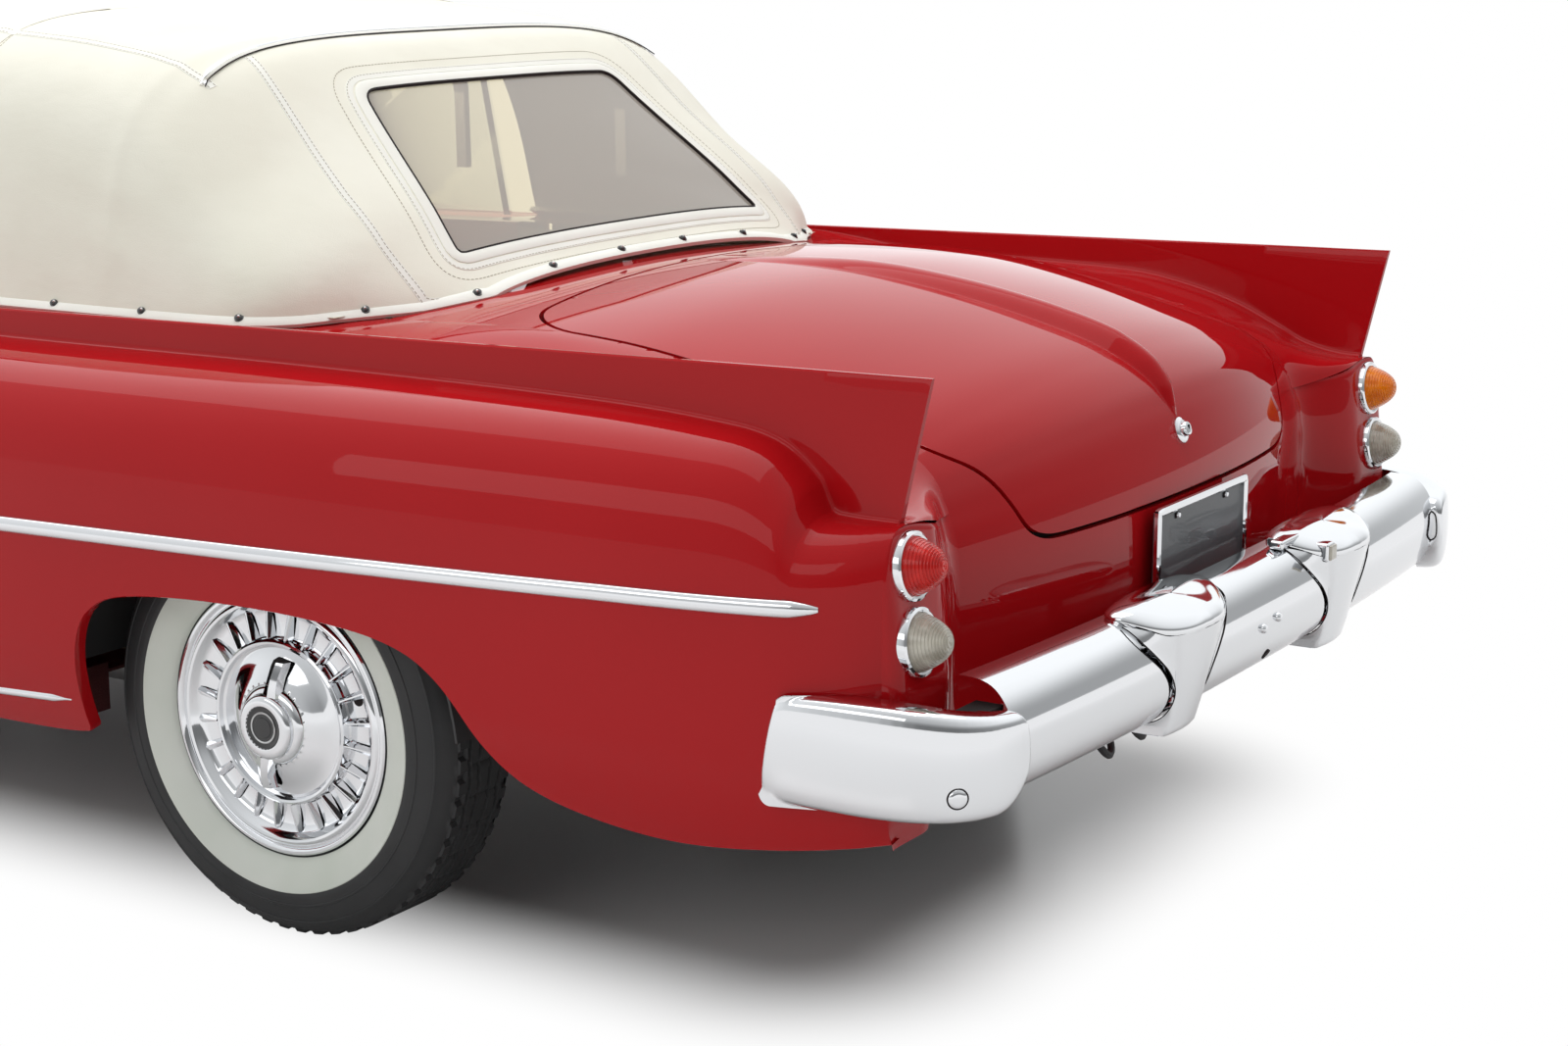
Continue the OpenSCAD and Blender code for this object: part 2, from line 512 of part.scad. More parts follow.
module wheel_arches() color(dark) placed() both_sides() {
    translate([0, 0, tyre_r]) arch(390, 600, 950, 45);
    translate([wheelbase, 0, tyre_r]) arch(440, 500, 930, 120);
}
module firewall() color(dark) placed() {
    translate([2346, -590, 330]) cube([5, 1180, 540]);
    translate([2140, -590, 865]) cube([206, 1180, 5]);
}
module engine() color([0.3, 0.3, 0.32]) placed() translate([2480, -220, 335]) cube([720, 440, 430]);
module fuel_tank() color(dark) placed() translate([-880, -350, 215]) cube([460, 640, 72]);
module exhaust() color([0.4, 0.4, 0.4]) placed() {
    translate([-560, 330, 180]) rotate([0, 90, 0]) {
        cylinder(r = 22, h = 2960, $fn = 32);
        translate([0, 0, 960]) cylinder(r = 46, h = 600, $fn = 48);
    }
}
hub_in = tyre_in_y + 80;
module rear_axle() color(dark) placed() {
    translate([0, 0, tyre_r]) {
        rotate([90, 0, 0]) cylinder(r = 38, h = 2 * (hub_in - 5), center = true, $fn = 48);
        sphere(r = 130, $fn = 64);
        both_sides() translate([0, 735, 0]) rotate([-90, 0, 0]) cylinder(r = 140, h = 50, $fn = 64);
    }
    both_sides() translate([-640, 540, tyre_r - 60]) cube([1180, 55, 22]);
}
module front_suspension() color(dark) placed() {
    translate([wheelbase - 60, -385, 280]) cube([120, 770, 45]);
    both_sides() {
        translate([wheelbase - 30, 380, 420]) cube([60, kingpin_y - 366, 22]);
        translate([wheelbase - 45, 380, 205]) cube([90, kingpin_y - 366, 22]);
        translate([wheelbase - 40, 472, 227]) cube([80, 22, 193]);
    }
}
module knuckle() {
    translate([wheelbase, kingpin_y, 232]) cylinder(r = 22, h = 183, $fn = 32);
    translate([wheelbase, kingpin_y, tyre_r]) rotate([-90, 0, 0])
        cylinder(r = 24, h = hub_in - 5 - kingpin_y, $fn = 32);
    translate([wheelbase, 738, tyre_r]) rotate([-90, 0, 0]) cylinder(r = 140, h = 45, $fn = 64);
}
module knuckle_left() color(dark) placed() knuckle();
module knuckle_right() color(dark) placed() mirrored() knuckle();

// Tyre and wheel turned about the axle, first number radius, second distance from the inner face
module turned(x) translate([x, tyre_in_y, tyre_r]) rotate([-90, 0, 0]) rotate_extrude($fn = 96)
    children();
rim_r = 203;
module tyre(x) turned(x) polygon([[rim_r, 30], [232, 8], [262, 0], [300, 5], [320, 18],
    [tyre_r, 36], [tyre_r, tyre_w - 36], [320, tyre_w - 18], [300, tyre_w - 5], [262, tyre_w],
    [232, tyre_w - 8], [rim_r, tyre_w - 30], [rim_r, tyre_w - 50], [240, tyre_w - 20],
    [262, tyre_w - 14], [300, tyre_w - 20], [314, tyre_w - 40], [314, 40], [300, 20],
    [262, 14], [240, 20], [rim_r, 50]]);
module wheel(x) turned(x) polygon([[0, 80], [70, 80], [70, 130], [188, 138], [188, 20],
    [rim_r - 0.5, 20], [rim_r - 0.5, 172], [190, 176], [180, 168], [168, 160], [125, 158],
    [124, 172], [100, 182], [60, 188], [58, 200], [48, 206], [0, 206]]);
module tyre_front_left() color(rubber) placed() tyre(wheelbase);
module tyre_front_right() color(rubber) placed() mirrored() tyre(wheelbase);
module tyre_rear_left() color(rubber) placed() tyre(0);
module tyre_rear_right() color(rubber) placed() mirrored() tyre(0);
module wheel_front_left() color(chrome) placed() wheel(wheelbase);
module wheel_front_right() color(chrome) placed() mirrored() wheel(wheelbase);
module wheel_rear_left() color(chrome) placed() wheel(0);
module wheel_rear_right() color(chrome) placed() mirrored() wheel(0);

// Cabin
wheel_at = [1700, 370, 830];
column_tilt = 25;
module column_frame() translate(wheel_at) rotate([0, -90 + column_tilt, 0]) children();
module steering_wheel() color([0.9, 0.88, 0.8]) placed() column_frame() {
    rotate_extrude($fn = 64) translate([205, 0]) circle(r = 11, $fn = 24);
    for (a = [60, 180, 300]) rotate([0, 0, a]) translate([30, -12, -4]) cube([170, 24, 8]);
    translate([0, 0, -25]) cylinder(r = 36, h = 40, $fn = 48);
}
module steering_column() color(dark) placed() column_frame()
    translate([0, 0, -520]) cylinder(r = 24, h = 489, $fn = 48);
module dashboard() color([0.5, 0.05, 0.05]) placed()
    translate([1900, -690, 775]) cube([90, 1380, 80]);
module bench(x, half, back_x, lean) {
    hull() for (a = [0, 1], b = [-1, 1]) translate([x + a * 400, b * (half - 60), 470 - 10 * a])
        sphere(r = 60, $fn = 16);
    hull() for (a = [0, 1], b = [-1, 1])
        translate([back_x - a * lean, b * (half - 60), 590 + a * 230]) sphere(r = 55, $fn = 16);
}
module front_seat() color([0.75, 0.7, 0.6]) placed() {
    bench(1160, 640, 1150, 60);
    translate([1140, -560, 330]) cube([440, 1120, 78]);
}
module rear_seat() color([0.75, 0.7, 0.6]) placed() bench(440, 560, 380, 60);

module door_glass() {
    g = [for (x = [830, 1100, 1400, 1660, 1880]) [for (k = [0:4])
        let (f = k / 4, w = max((x - 1400) / 480, 0), top = 668 - 50 * w)
        [x - 320 * w * f, 756 + (top - 756) * f, fin_foot(x) + 6 + (1244 - fin_foot(x)) * f]]];
    shell(moved_in(g, -2.5), moved_in(g, 2.5), true);
}
module door_glass_left() color(glass_tint) placed() door_glass();
module door_glass_right() color(glass_tint) placed() mirrored() door_glass();

chassis_frame();
floor_pan();
wheel_arches();
firewall();
fender_left();
fender_right();
quarter_left();
quarter_right();
deck_panel();
tail_panel();
nose_panel();
cowl_panel();
windshield_frame();
windshield();
dashboard();
front_seat();
rear_seat();
soft_top();
rear_window();
top_bows();
front_bumper();
rear_bumper_bar();
rear_bumper_ends();
rear_bumper_guards();
grille();
headlamps();
tail_lamps();
number_plate();
engine();
fuel_tank();
exhaust();
rear_axle();
front_suspension();
steering_column();
steering_wheel();
door_left();
door_right();
door_glass_left();
door_glass_right();
bonnet();
boot_lid();
knuckle_left();
knuckle_right();
tyre_front_left();
tyre_front_right();
tyre_rear_left();
tyre_rear_right();
wheel_front_left();
wheel_front_right();
wheel_rear_left();
wheel_rear_right();
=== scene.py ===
import math

import bmesh
import bpy
import numpy as np
from mathutils import Matrix, Vector


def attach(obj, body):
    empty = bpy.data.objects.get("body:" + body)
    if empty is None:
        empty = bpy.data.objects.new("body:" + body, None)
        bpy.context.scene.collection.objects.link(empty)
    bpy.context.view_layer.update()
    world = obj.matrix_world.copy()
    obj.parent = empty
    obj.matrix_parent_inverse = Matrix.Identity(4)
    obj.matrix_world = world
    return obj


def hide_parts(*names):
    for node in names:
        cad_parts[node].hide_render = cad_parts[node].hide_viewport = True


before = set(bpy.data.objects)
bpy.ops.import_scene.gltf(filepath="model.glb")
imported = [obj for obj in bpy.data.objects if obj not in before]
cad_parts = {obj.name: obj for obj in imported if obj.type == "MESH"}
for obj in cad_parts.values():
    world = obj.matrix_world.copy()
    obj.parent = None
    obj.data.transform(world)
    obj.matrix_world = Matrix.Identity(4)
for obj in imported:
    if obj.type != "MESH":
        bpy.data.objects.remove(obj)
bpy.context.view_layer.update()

# Sizes of the body in millimetres, in the frame of the rear axle, as in the CAD source
AXLE_X = -1363.0
WHEELBASE = 2921.0
HALF_WIDTH = 990.0
FIN_Y = 813.0
FIN_OUT, FIN_IN = FIN_Y + 5, FIN_Y - 5
SHOULDER_Z = 640.0
LEDGE_Z = 735.0
GAP = 7.0
LID_Y = 600.0
GUTTER_Y = LID_Y + GAP
DOOR_REAR, DOOR_FRONT, DOOR_LOW = 771.0, 1960.0, 346.0
BONNET_REAR, NOSE_X = 2180.0, 3620.0
TYRE_R, TYRE_IN = 330.0, 720.0
TAIL_X = -1022.0
BONNET_CROWN = 45
HEADLAMP_X, HEADLAMP_Y, HEADLAMP_Z, HEADLAMP_HOLE = 3700, 735, 655, 96

WIDTH_LINE = [[-1042, -128], [-977, -85], [-877, -50], [-677, -22], [-377, -7], [0, 0],
              [723, 0], [1523, -5], [2323, -12], [2923, -22], [3323, -45], [3573, -75], [3680, -100]]
SHOULDER_LINE = [[-1022, 735], [-927, 736], [-912, 744], [-895, 779], [-835, 822], [-743, 839],
                 [-519, 850], [0, 852], [623, 846], [1023, 852], [1423, 868], [1723, 876],
                 [1963, 876], [2623, 862], [3323, 835], [3633, 790]]
INNER_LINE = [[-1022, 735], [-967, 738], [-907, 752], [-857, 776], [-777, 812], [-677, 840],
              [-577, 856], [-377, 862], [-177, 864], [-77, 870], [23, 884], [123, 893],
              [623, 893], [1023, 890], [1423, 884], [1963, 880], [2623, 866], [3323, 838],
              [3633, 793]]
SILL_LINE = [[-1022, 315], [-909, 300], [-755, 284], [-635, 296], [-521, 328], [-455, 380],
             [-390, 467], [-305, 517], [-127, 533], [61, 531], [199, 519], [261, 502],
             [309, 454], [326, 300], [332, 268], [800, 262]]
FRONT_ARCH = [[-470, 268], [-455, 330], [-430, 420], [-380, 540], [-290, 620], [-150, 668],
              [0, 680], [150, 668], [290, 620], [380, 540], [430, 420], [455, 350], [470, 335]]
DECK_X = [[0, 33], [1, -177], [2, -361], [3, -508], [4, -686], [5, -858], [6, -942], [7, -992],
          [8, -1018], [9, -1037], [10, -1052], [11, -1058], [12, -1057], [13, -1042], [14, -1012]]
DECK_Z = [[0, 930], [1, 941], [2, 946], [3, 940], [4, 914], [5, 874], [6, 842], [7, 808],
          [8, 770], [9, 725], [10, 672], [11, 600], [12, 480], [13, 360], [14, 300]]
DECK_DROP = [[0, 33], [1, 36], [2, 48], [3, 58], [4, 62], [5, 60], [6, 58], [7, 50], [8, 35],
             [9, 20], [10, 8], [11, 0], [14, 0]]
DECK_TURN = [[0, -30], [1, -60], [2, -40], [3, -20], [4, 0], [5, 20], [6, 35], [7, 50],
             [8, 60], [9, 66], [10, 68], [12, 68], [14, 50]]
LID_REAR = [[0, 10.4], [380, 10.4], [430, 10.3], [462, 9.95], [478, 9.35], [500, 8.5],
            [535, 7.3], [570, 6.3], [600, 5.1]]
TAIL_STATION = [[0, 33], [1, -230], [2, -400], [3, -530], [4, -690], [5, -860], [5.45, -898],
                [6, -925], [7, -970], [8, -1013], [9, -1022]]
BONNET_LINE = [[2000, 938], [2180, 930], [2523, 925], [2923, 905], [3323, 870], [3520, 832],
               [3620, 795]]
TOP_CROWN = [[-58, 952], [-30, 972], [10, 1006], [70, 1057], [220, 1183], [345, 1283],
             [400, 1300], [500, 1315], [650, 1334], [900, 1348], [1200, 1350], [1500, 1340],
             [1700, 1322]]
TOP_HALF = [[-60, 486], [-14, 560], [36, 640], [80, 728], [130, 772], [220, 788], [500, 790],
            [740, 786], [1700, 740]]
TOP_SQUARE = [[-58, 2.3], [70, 2.5], [220, 2.8], [345, 3.9], [500, 5.5], [1700, 6]]
TOP_EDGE = [[-58, 922], [-14, 910], [80, 904], [740, 898], [779, 898], [780, 1262], [1700, 1262]]


def curve(x, knots):
    """Smooth curve through knots, the same rule as in the CAD source."""
    k = np.array(knots, float)
    xs, ys = k[:, 0], k[:, 1]
    n = len(xs)
    x = np.clip(np.asarray(x, float), xs[0], xs[-1])
    i = np.clip(np.searchsorted(xs[1:], x, side="left"), 0, n - 2)
    lo, hi = np.maximum(np.arange(n) - 1, 0), np.minimum(np.arange(n) + 1, n - 1)
    slopes = (ys[hi] - ys[lo]) / (xs[hi] - xs[lo])
    h = xs[i + 1] - xs[i]
    t = (x - xs[i]) / h
    return (ys[i] * (1 + 2 * t) * (1 - t) ** 2 + slopes[i] * h * t * (1 - t) ** 2
            + ys[i + 1] * t * t * (3 - 2 * t) + slopes[i + 1] * h * t * t * (t - 1))


def ramp(x, knots):
    """Straight lines through knots."""
    k = np.array(knots, float)
    return np.interp(x, k[:, 0], k[:, 1])


def smooth(t):
    """Soft step from 0 to 1."""
    t = np.clip(t, 0, 1)
    return t * t * (3 - 2 * t)


def even(points, count=None, step=None):
    """Points spread evenly along a polyline."""
    p = np.asarray(points, float)
    d = np.concatenate([[0], np.cumsum(np.linalg.norm(np.diff(p, axis=0), axis=1))])
    n = count if count else max(2, int(round(d[-1] / step)) + 1)
    s = np.linspace(0, d[-1], n)
    return np.stack([np.interp(s, d, p[:, k]) for k in range(p.shape[1])], axis=1)


def rounded(points, times=3):
    """Cuts the corners of an open polyline, ends kept."""
    p = np.asarray(points, float)
    for _ in range(times):
        a, b = p[:-1], p[1:]
        q = np.empty((2 * len(a), p.shape[1]))
        q[0::2], q[1::2] = a * 0.75 + b * 0.25, a * 0.25 + b * 0.75
        p = np.concatenate([p[:1], q, p[-1:]])
    return p


def mirror(grid):
    """The same points on the right side of the car."""
    return np.asarray(grid) * np.array([1, -1, 1])


# ---------------------------------------------------------------- materials
def shader(name, colour, rough=0.5, metal=0.0, coat=0.0, coat_rough=0.03, **more):
    """A plain surface; more inputs go by name, with underscores for spaces."""
    m = bpy.data.materials.new(name)
    m.use_nodes = True
    b = m.node_tree.nodes["Principled BSDF"]
    b.inputs["Base Color"].default_value = (*colour, 1)
    b.inputs["Roughness"].default_value = rough
    b.inputs["Metallic"].default_value = metal
    b.inputs["Coat Weight"].default_value = coat
    b.inputs["Coat Roughness"].default_value = coat_rough
    for key, value in more.items():
        b.inputs[key.replace("_", " ")].default_value = value
    m.diffuse_color = (*colour, 1)
    return m


def bump(m, kind, scale, strength, distance, stretch=(1, 1, 1), detail=2.0):
    """Adds a fine relief from a texture, on top of any relief that is there."""
    t = m.node_tree
    place = t.nodes.new("ShaderNodeTexCoord")
    turn = t.nodes.new("ShaderNodeMapping")
    turn.inputs["Scale"].default_value = stretch
    tex = t.nodes.new(kind)
    tex.inputs["Scale"].default_value = scale
    if "Detail" in tex.inputs:
        tex.inputs["Detail"].default_value = detail
    b = t.nodes.new("ShaderNodeBump")
    b.inputs["Strength"].default_value = strength
    b.inputs["Distance"].default_value = distance
    old = [link for link in t.links
           if link.to_socket.name == "Normal" and link.to_node.type == "BSDF_PRINCIPLED"]
    if old:
        t.links.new(old[0].from_socket, b.inputs["Normal"])
    t.links.new(place.outputs["Object"], turn.inputs["Vector"])
    t.links.new(turn.outputs["Vector"], tex.inputs["Vector"])
    t.links.new(tex.outputs[0], b.inputs["Height"])
    t.links.new(b.outputs["Normal"], t.nodes["Principled BSDF"].inputs["Normal"])
    return tex


def patchy(m, low, high, scale, detail=3.0, start=0.35, end=0.7):
    """Base colour that drifts between two colours."""
    t = m.node_tree
    place = t.nodes.new("ShaderNodeTexCoord")
    tex = t.nodes.new("ShaderNodeTexNoise")
    tex.inputs["Scale"].default_value = scale
    tex.inputs["Detail"].default_value = detail
    mix = t.nodes.new("ShaderNodeValToRGB")
    mix.color_ramp.elements[0].position = start
    mix.color_ramp.elements[0].color = (*low, 1)
    mix.color_ramp.elements[1].position = end
    mix.color_ramp.elements[1].color = (*high, 1)
    t.links.new(place.outputs["Object"], tex.inputs["Vector"])
    t.links.new(tex.outputs[0], mix.inputs["Fac"])
    t.links.new(mix.outputs["Color"], t.nodes["Principled BSDF"].inputs["Base Color"])


def clear(name, tint, gloss_rough=0.02, through=1.0, body=(0.5, 0.5, 0.5)):
    """Thin see-through pane: tinted light goes straight through, with a mirror-like surface."""
    m = bpy.data.materials.new(name)
    m.use_nodes = True
    t = m.node_tree
    t.nodes.clear()
    out = t.nodes.new("ShaderNodeOutputMaterial")
    gone = t.nodes.new("ShaderNodeBsdfTransparent")
    gone.inputs["Color"].default_value = (*tint, 1)
    solid = t.nodes.new("ShaderNodeBsdfDiffuse")
    solid.inputs["Color"].default_value = (*body, 1)
    shine = t.nodes.new("ShaderNodeBsdfGlossy")
    shine.inputs["Color"].default_value = (1, 1, 1, 1)
    shine.inputs["Roughness"].default_value = gloss_rough
    edge = t.nodes.new("ShaderNodeFresnel")
    edge.inputs["IOR"].default_value = 1.45
    inside = t.nodes.new("ShaderNodeMixShader")
    inside.inputs["Fac"].default_value = through
    both = t.nodes.new("ShaderNodeMixShader")
    t.links.new(solid.outputs[0], inside.inputs[1])
    t.links.new(gone.outputs[0], inside.inputs[2])
    t.links.new(edge.outputs[0], both.inputs["Fac"])
    t.links.new(inside.outputs[0], both.inputs[1])
    t.links.new(shine.outputs[0], both.inputs[2])
    t.links.new(both.outputs[0], out.inputs["Surface"])
    m.diffuse_color = (*tint, 0.5)
    return m


RED = shader("red_paint", (0.41, 0.006, 0.009), 0.5, 0, 1.0, 0.02, Specular_IOR_Level=0.0, Coat_IOR=1.3)
patchy(RED, (0.425, 0.005, 0.008), (0.455, 0.007, 0.010), 1.6)
# darker copy of the body red for the inner faces of lid and bonnet: painted shade
SHADED_RED = shader("red_paint_inside_painted_shade", (0.10, 0.004, 0.005), 0.6)
CHROME = shader("chrome", (0.80, 0.81, 0.83), 0.07, 1.0)
bump(CHROME, "ShaderNodeTexNoise", 7.0, 0.05, 0.002, detail=1.0)
SATIN = shader("brushed_metal", (0.62, 0.62, 0.62), 0.32, 1.0)
# near-black painted shade for gaps, holes, slots and joint lines
PAINTED_GAP_SHADE = shader("seam_shadow", (0.012, 0.006, 0.006), 0.9)
METAL = shader("dark_metal", (0.035, 0.035, 0.038), 0.6)
bump(METAL, "ShaderNodeTexNoise", 60, 0.25, 0.002)
RUBBER = shader("tyre_rubber", (0.028, 0.028, 0.029), 0.62)
bump(RUBBER, "ShaderNodeTexNoise", 90, 0.25, 0.001)
WHITEWALL = shader("whitewall", (0.70, 0.73, 0.66), 0.5)
patchy(WHITEWALL, (0.64, 0.68, 0.60), (0.76, 0.78, 0.72), 5.0)
CANVAS = shader("top_canvas", (0.86, 0.83, 0.72), 0.9, Sheen_Weight=0.25)
patchy(CANVAS, (0.83, 0.80, 0.685), (0.90, 0.875, 0.765), 3.5)
bump(CANVAS, "ShaderNodeTexNoise", 7.0, 0.35, 0.008, (1, 1, 2), 3.0)
bump(CANVAS, "ShaderNodeTexVoronoi", 520, 0.25, 0.0006)
BINDING = shader("top_binding", (0.88, 0.865, 0.80), 0.6)
patchy(BINDING, (0.85, 0.835, 0.765), (0.90, 0.885, 0.825), 6.0)
bump(BINDING, "ShaderNodeTexVoronoi", 500, 0.2, 0.0005)
LINING = shader("top_lining", (0.42, 0.37, 0.31), 0.95)
bump(LINING, "ShaderNodeTexVoronoi", 480, 0.2, 0.0005)
STITCH = shader("stitching", (0.42, 0.37, 0.28), 0.9)
VINYL = shader("seat_vinyl", (0.62, 0.57, 0.45), 0.5)
bump(VINYL, "ShaderNodeTexVoronoi", 320, 0.25, 0.0008)
CABIN = shader("cabin_paint", (0.28, 0.012, 0.012), 0.35, 0, 0.8)
IVORY = shader("ivory_plastic", (0.72, 0.68, 0.56), 0.25, 0, 0.5)
CARPET = shader("carpet", (0.10, 0.02, 0.02), 1.0)
bump(CARPET, "ShaderNodeTexNoise", 300, 0.6, 0.003)
GLASS = clear("window_glass", (0.93, 0.96, 0.95))
PLASTIC = clear("window_plastic", (0.76, 0.69, 0.44), 0.10, 0.58, (0.80, 0.72, 0.63))
LAMP_RED = shader("lamp_red", (0.60, 0.010, 0.006), 0.25, 0, 1.0, 0.03, Coat_IOR=1.35, Specular_IOR_Level=0.1)
patchy(LAMP_RED, (0.50, 0.006, 0.004), (0.72, 0.014, 0.008), 60)
LAMP_AMBER = shader("lamp_amber", (0.88, 0.22, 0.004), 0.25, 0, 1.0, 0.03, Coat_IOR=1.35,
                    Specular_IOR_Level=0.1)
patchy(LAMP_AMBER, (0.78, 0.17, 0.003), (0.95, 0.27, 0.006), 60)
LAMP_CLEAR = shader("lamp_clear", (0.50, 0.46, 0.38), 0.16, 0, 1.0, 0.03, Coat_IOR=1.4)
patchy(LAMP_CLEAR, (0.40, 0.36, 0.29), (0.62, 0.58, 0.49), 50)
LAMP_GLASS = shader("headlamp_glass", (0.85, 0.87, 0.88), 0.08, 0.2, 1.0, Transmission_Weight=0.4)
ENAMEL = shader("plate_enamel", (0.060, 0.066, 0.072), 0.42, 0, 0.3)
BLACK = shader("black_enamel", (0.012, 0.012, 0.013), 0.3, 0, 0.5)

# slow drift of colour on the plainer materials: low, high, scale
for look, low, high, scale in (
        (SHADED_RED, (0.085, 0.003, 0.004), (0.115, 0.005, 0.006), 4.0),
        (SATIN, (0.55, 0.55, 0.55), (0.68, 0.68, 0.68), 8.0),
        (PAINTED_GAP_SHADE, (0.010, 0.005, 0.005), (0.014, 0.007, 0.007), 20.0),
        (METAL, (0.028, 0.028, 0.030), (0.045, 0.044, 0.044), 6.0),
        (RUBBER, (0.024, 0.024, 0.025), (0.033, 0.033, 0.034), 9.0),
        (STITCH, (0.38, 0.33, 0.25), (0.47, 0.42, 0.32), 40.0),
        (VINYL, (0.59, 0.54, 0.42), (0.65, 0.60, 0.48), 5.0),
        (CABIN, (0.26, 0.010, 0.010), (0.30, 0.014, 0.014), 4.0),
        (IVORY, (0.70, 0.66, 0.54), (0.75, 0.71, 0.59), 12.0),
        (CARPET, (0.085, 0.016, 0.016), (0.115, 0.024, 0.024), 25.0),
        (LINING, (0.40, 0.35, 0.29), (0.45, 0.40, 0.33), 4.0),
        (ENAMEL, (0.055, 0.060, 0.066), (0.066, 0.072, 0.080), 10.0),
        (BLACK, (0.010, 0.010, 0.011), (0.015, 0.015, 0.016), 15.0),
        (LAMP_GLASS, (0.83, 0.85, 0.86), (0.87, 0.89, 0.90), 10.0)):
    patchy(look, low, high, scale)


# ---------------------------------------------------------------- meshes
def make(name, verts, faces, mats, picks=None, body="root", sharp=38, slot_name=None, flat_shade=False):
    """A mesh piece from points in the rear axle frame, in millimetres."""
    v = (np.asarray(verts, float) + np.array([AXLE_X, 0, 0])) / 1000.0
    mesh = bpy.data.meshes.new(name)
    mesh.from_pydata(v.tolist(), [], [list(map(int, f)) for f in faces])
    mesh.validate()
    obj = bpy.data.objects.new(name, mesh)
    bpy.context.scene.collection.objects.link(obj)
    for m in (mats if isinstance(mats, (list, tuple)) else [mats]):
        mesh.materials.append(m)
    if picks is not None:
        mesh.polygons.foreach_set("material_index", np.asarray(picks, np.int32))
    if not flat_shade:
        mesh.polygons.foreach_set("use_smooth", [True] * len(mesh.polygons))
        mesh.set_sharp_from_angle(angle=math.radians(sharp))
    mesh.update()
    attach(obj, body)
    return obj


def grid_faces(n, m, close_rows=False, close_cols=False, start=0, turn=False):
    """Quads of a grid of n rows and m columns."""
    i = np.arange(n if close_rows else n - 1)
    j = np.arange(m if close_cols else m - 1)
    a, b = np.meshgrid(i, j, indexing="ij")
    a, b = a.ravel(), b.ravel()
    c, d = (a + 1) % n, (b + 1) % m
    quads = np.stack([a * m + b, a * m + d, c * m + d, c * m + b], axis=1) + start
    return quads[:, ::-1] if turn else quads


class Bits:
    """Collects grids and solids into one piece."""

    def __init__(self):
        self.v, self.f, self.p, self.n = [], [], [], 0

    def add(self, verts, faces, pick=0):
        verts = np.asarray(verts, float).reshape(-1, 3)
        self.v.append(verts)
        self.f += [[int(k) + self.n for k in face] for face in faces]
        self.p += [pick] * len(faces)
        self.n += len(verts)
        return self

    def grid(self, g, turn=False, pick=0, close_rows=False, close_cols=False):
        g = np.asarray(g, float)
        return self.add(g.reshape(-1, 3),
                        grid_faces(g.shape[0], g.shape[1], close_rows, close_cols, 0, turn), pick)

    def both(self, g, turn=False, pick=0, **more):
        self.grid(g, turn, pick, **more)
        return self.grid(mirror(g), not turn, pick, **more)

    def fan(self, ring, centre, turn=False, pick=0):
        ring = np.asarray(ring, float)
        n = len(ring)
        faces = [[k, (k + 1) % n, n] for k in range(n)]
        if turn:
            faces = [f[::-1] for f in faces]
        return self.add(np.concatenate([ring, [centre]]), faces, pick)

    def make(self, name, mats, weld=0.0, **more):
        obj = make(name, np.concatenate(self.v), self.f, mats, self.p, **more)
        if weld:
            bm = bmesh.new()
            bm.from_mesh(obj.data)
            bmesh.ops.remove_doubles(bm, verts=bm.verts, dist=weld)
            bmesh.ops.recalc_face_normals(bm, faces=bm.faces)
            bm.to_mesh(obj.data)
            bm.free()
            obj.data.polygons.foreach_set("use_smooth", [True] * len(obj.data.polygons))
            obj.data.set_sharp_from_angle(angle=math.radians(more.get("sharp", 38)))
        return obj


def normals_of(g):
    """Unit normals of a grid of points."""
    a = np.gradient(g, axis=0)
    b = np.gradient(g, axis=1)
    n = np.cross(a, b)
    return n / np.maximum(np.linalg.norm(n, axis=2, keepdims=True), 1e-9)


def sweep(path, ups, profile, scale=None, closed=False):
    """Grid of a profile carried along a path. Profile points are (sideways, up)."""
    p = np.asarray(path, float)
    if closed:
        t = np.roll(p, -1, axis=0) - np.roll(p, 1, axis=0)
    else:
        t = np.gradient(p, axis=0)
    t /= np.maximum(np.linalg.norm(t, axis=1, keepdims=True), 1e-9)
    u = np.broadcast_to(np.asarray(ups, float), p.shape).copy()
    u -= t * np.sum(u * t, axis=1, keepdims=True)
    u /= np.maximum(np.linalg.norm(u, axis=1, keepdims=True), 1e-9)
    s = np.cross(u, t)
    q = np.asarray(profile, float)
    k = np.ones(len(p)) if scale is None else np.asarray(scale, float)
    return (p[:, None, :] + k[:, None, None] * (s[:, None, :] * q[None, :, 0, None]
                                                + u[:, None, :] * q[None, :, 1, None]))


def strip(bits, path, ups, profile, scale=None, closed=False, pick=0):
    """Adds a swept closed profile with capped ends."""
    g = sweep(path, ups, profile, scale, closed)
    bits.grid(g, False, pick, close_rows=closed, close_cols=True)
    if not closed:
        bits.fan(g[0], g[0].mean(axis=0), False, pick)
        bits.fan(g[-1], g[-1].mean(axis=0), True, pick)
    return g


def disc_profile(width, height, n=9):
    """Half-round profile lying on a surface."""
    a = np.linspace(0, math.pi, n)
    return [[-width / 2 * math.cos(k), height * math.sin(k)] for k in a] + [[width / 2, -2], [-width / 2, -2]]


def tube_profile(r, n=8):
    """Round profile for sweep."""
    return [[r * math.cos(a), r * math.sin(a)] for a in np.linspace(0, 2 * math.pi, n, endpoint=False)]


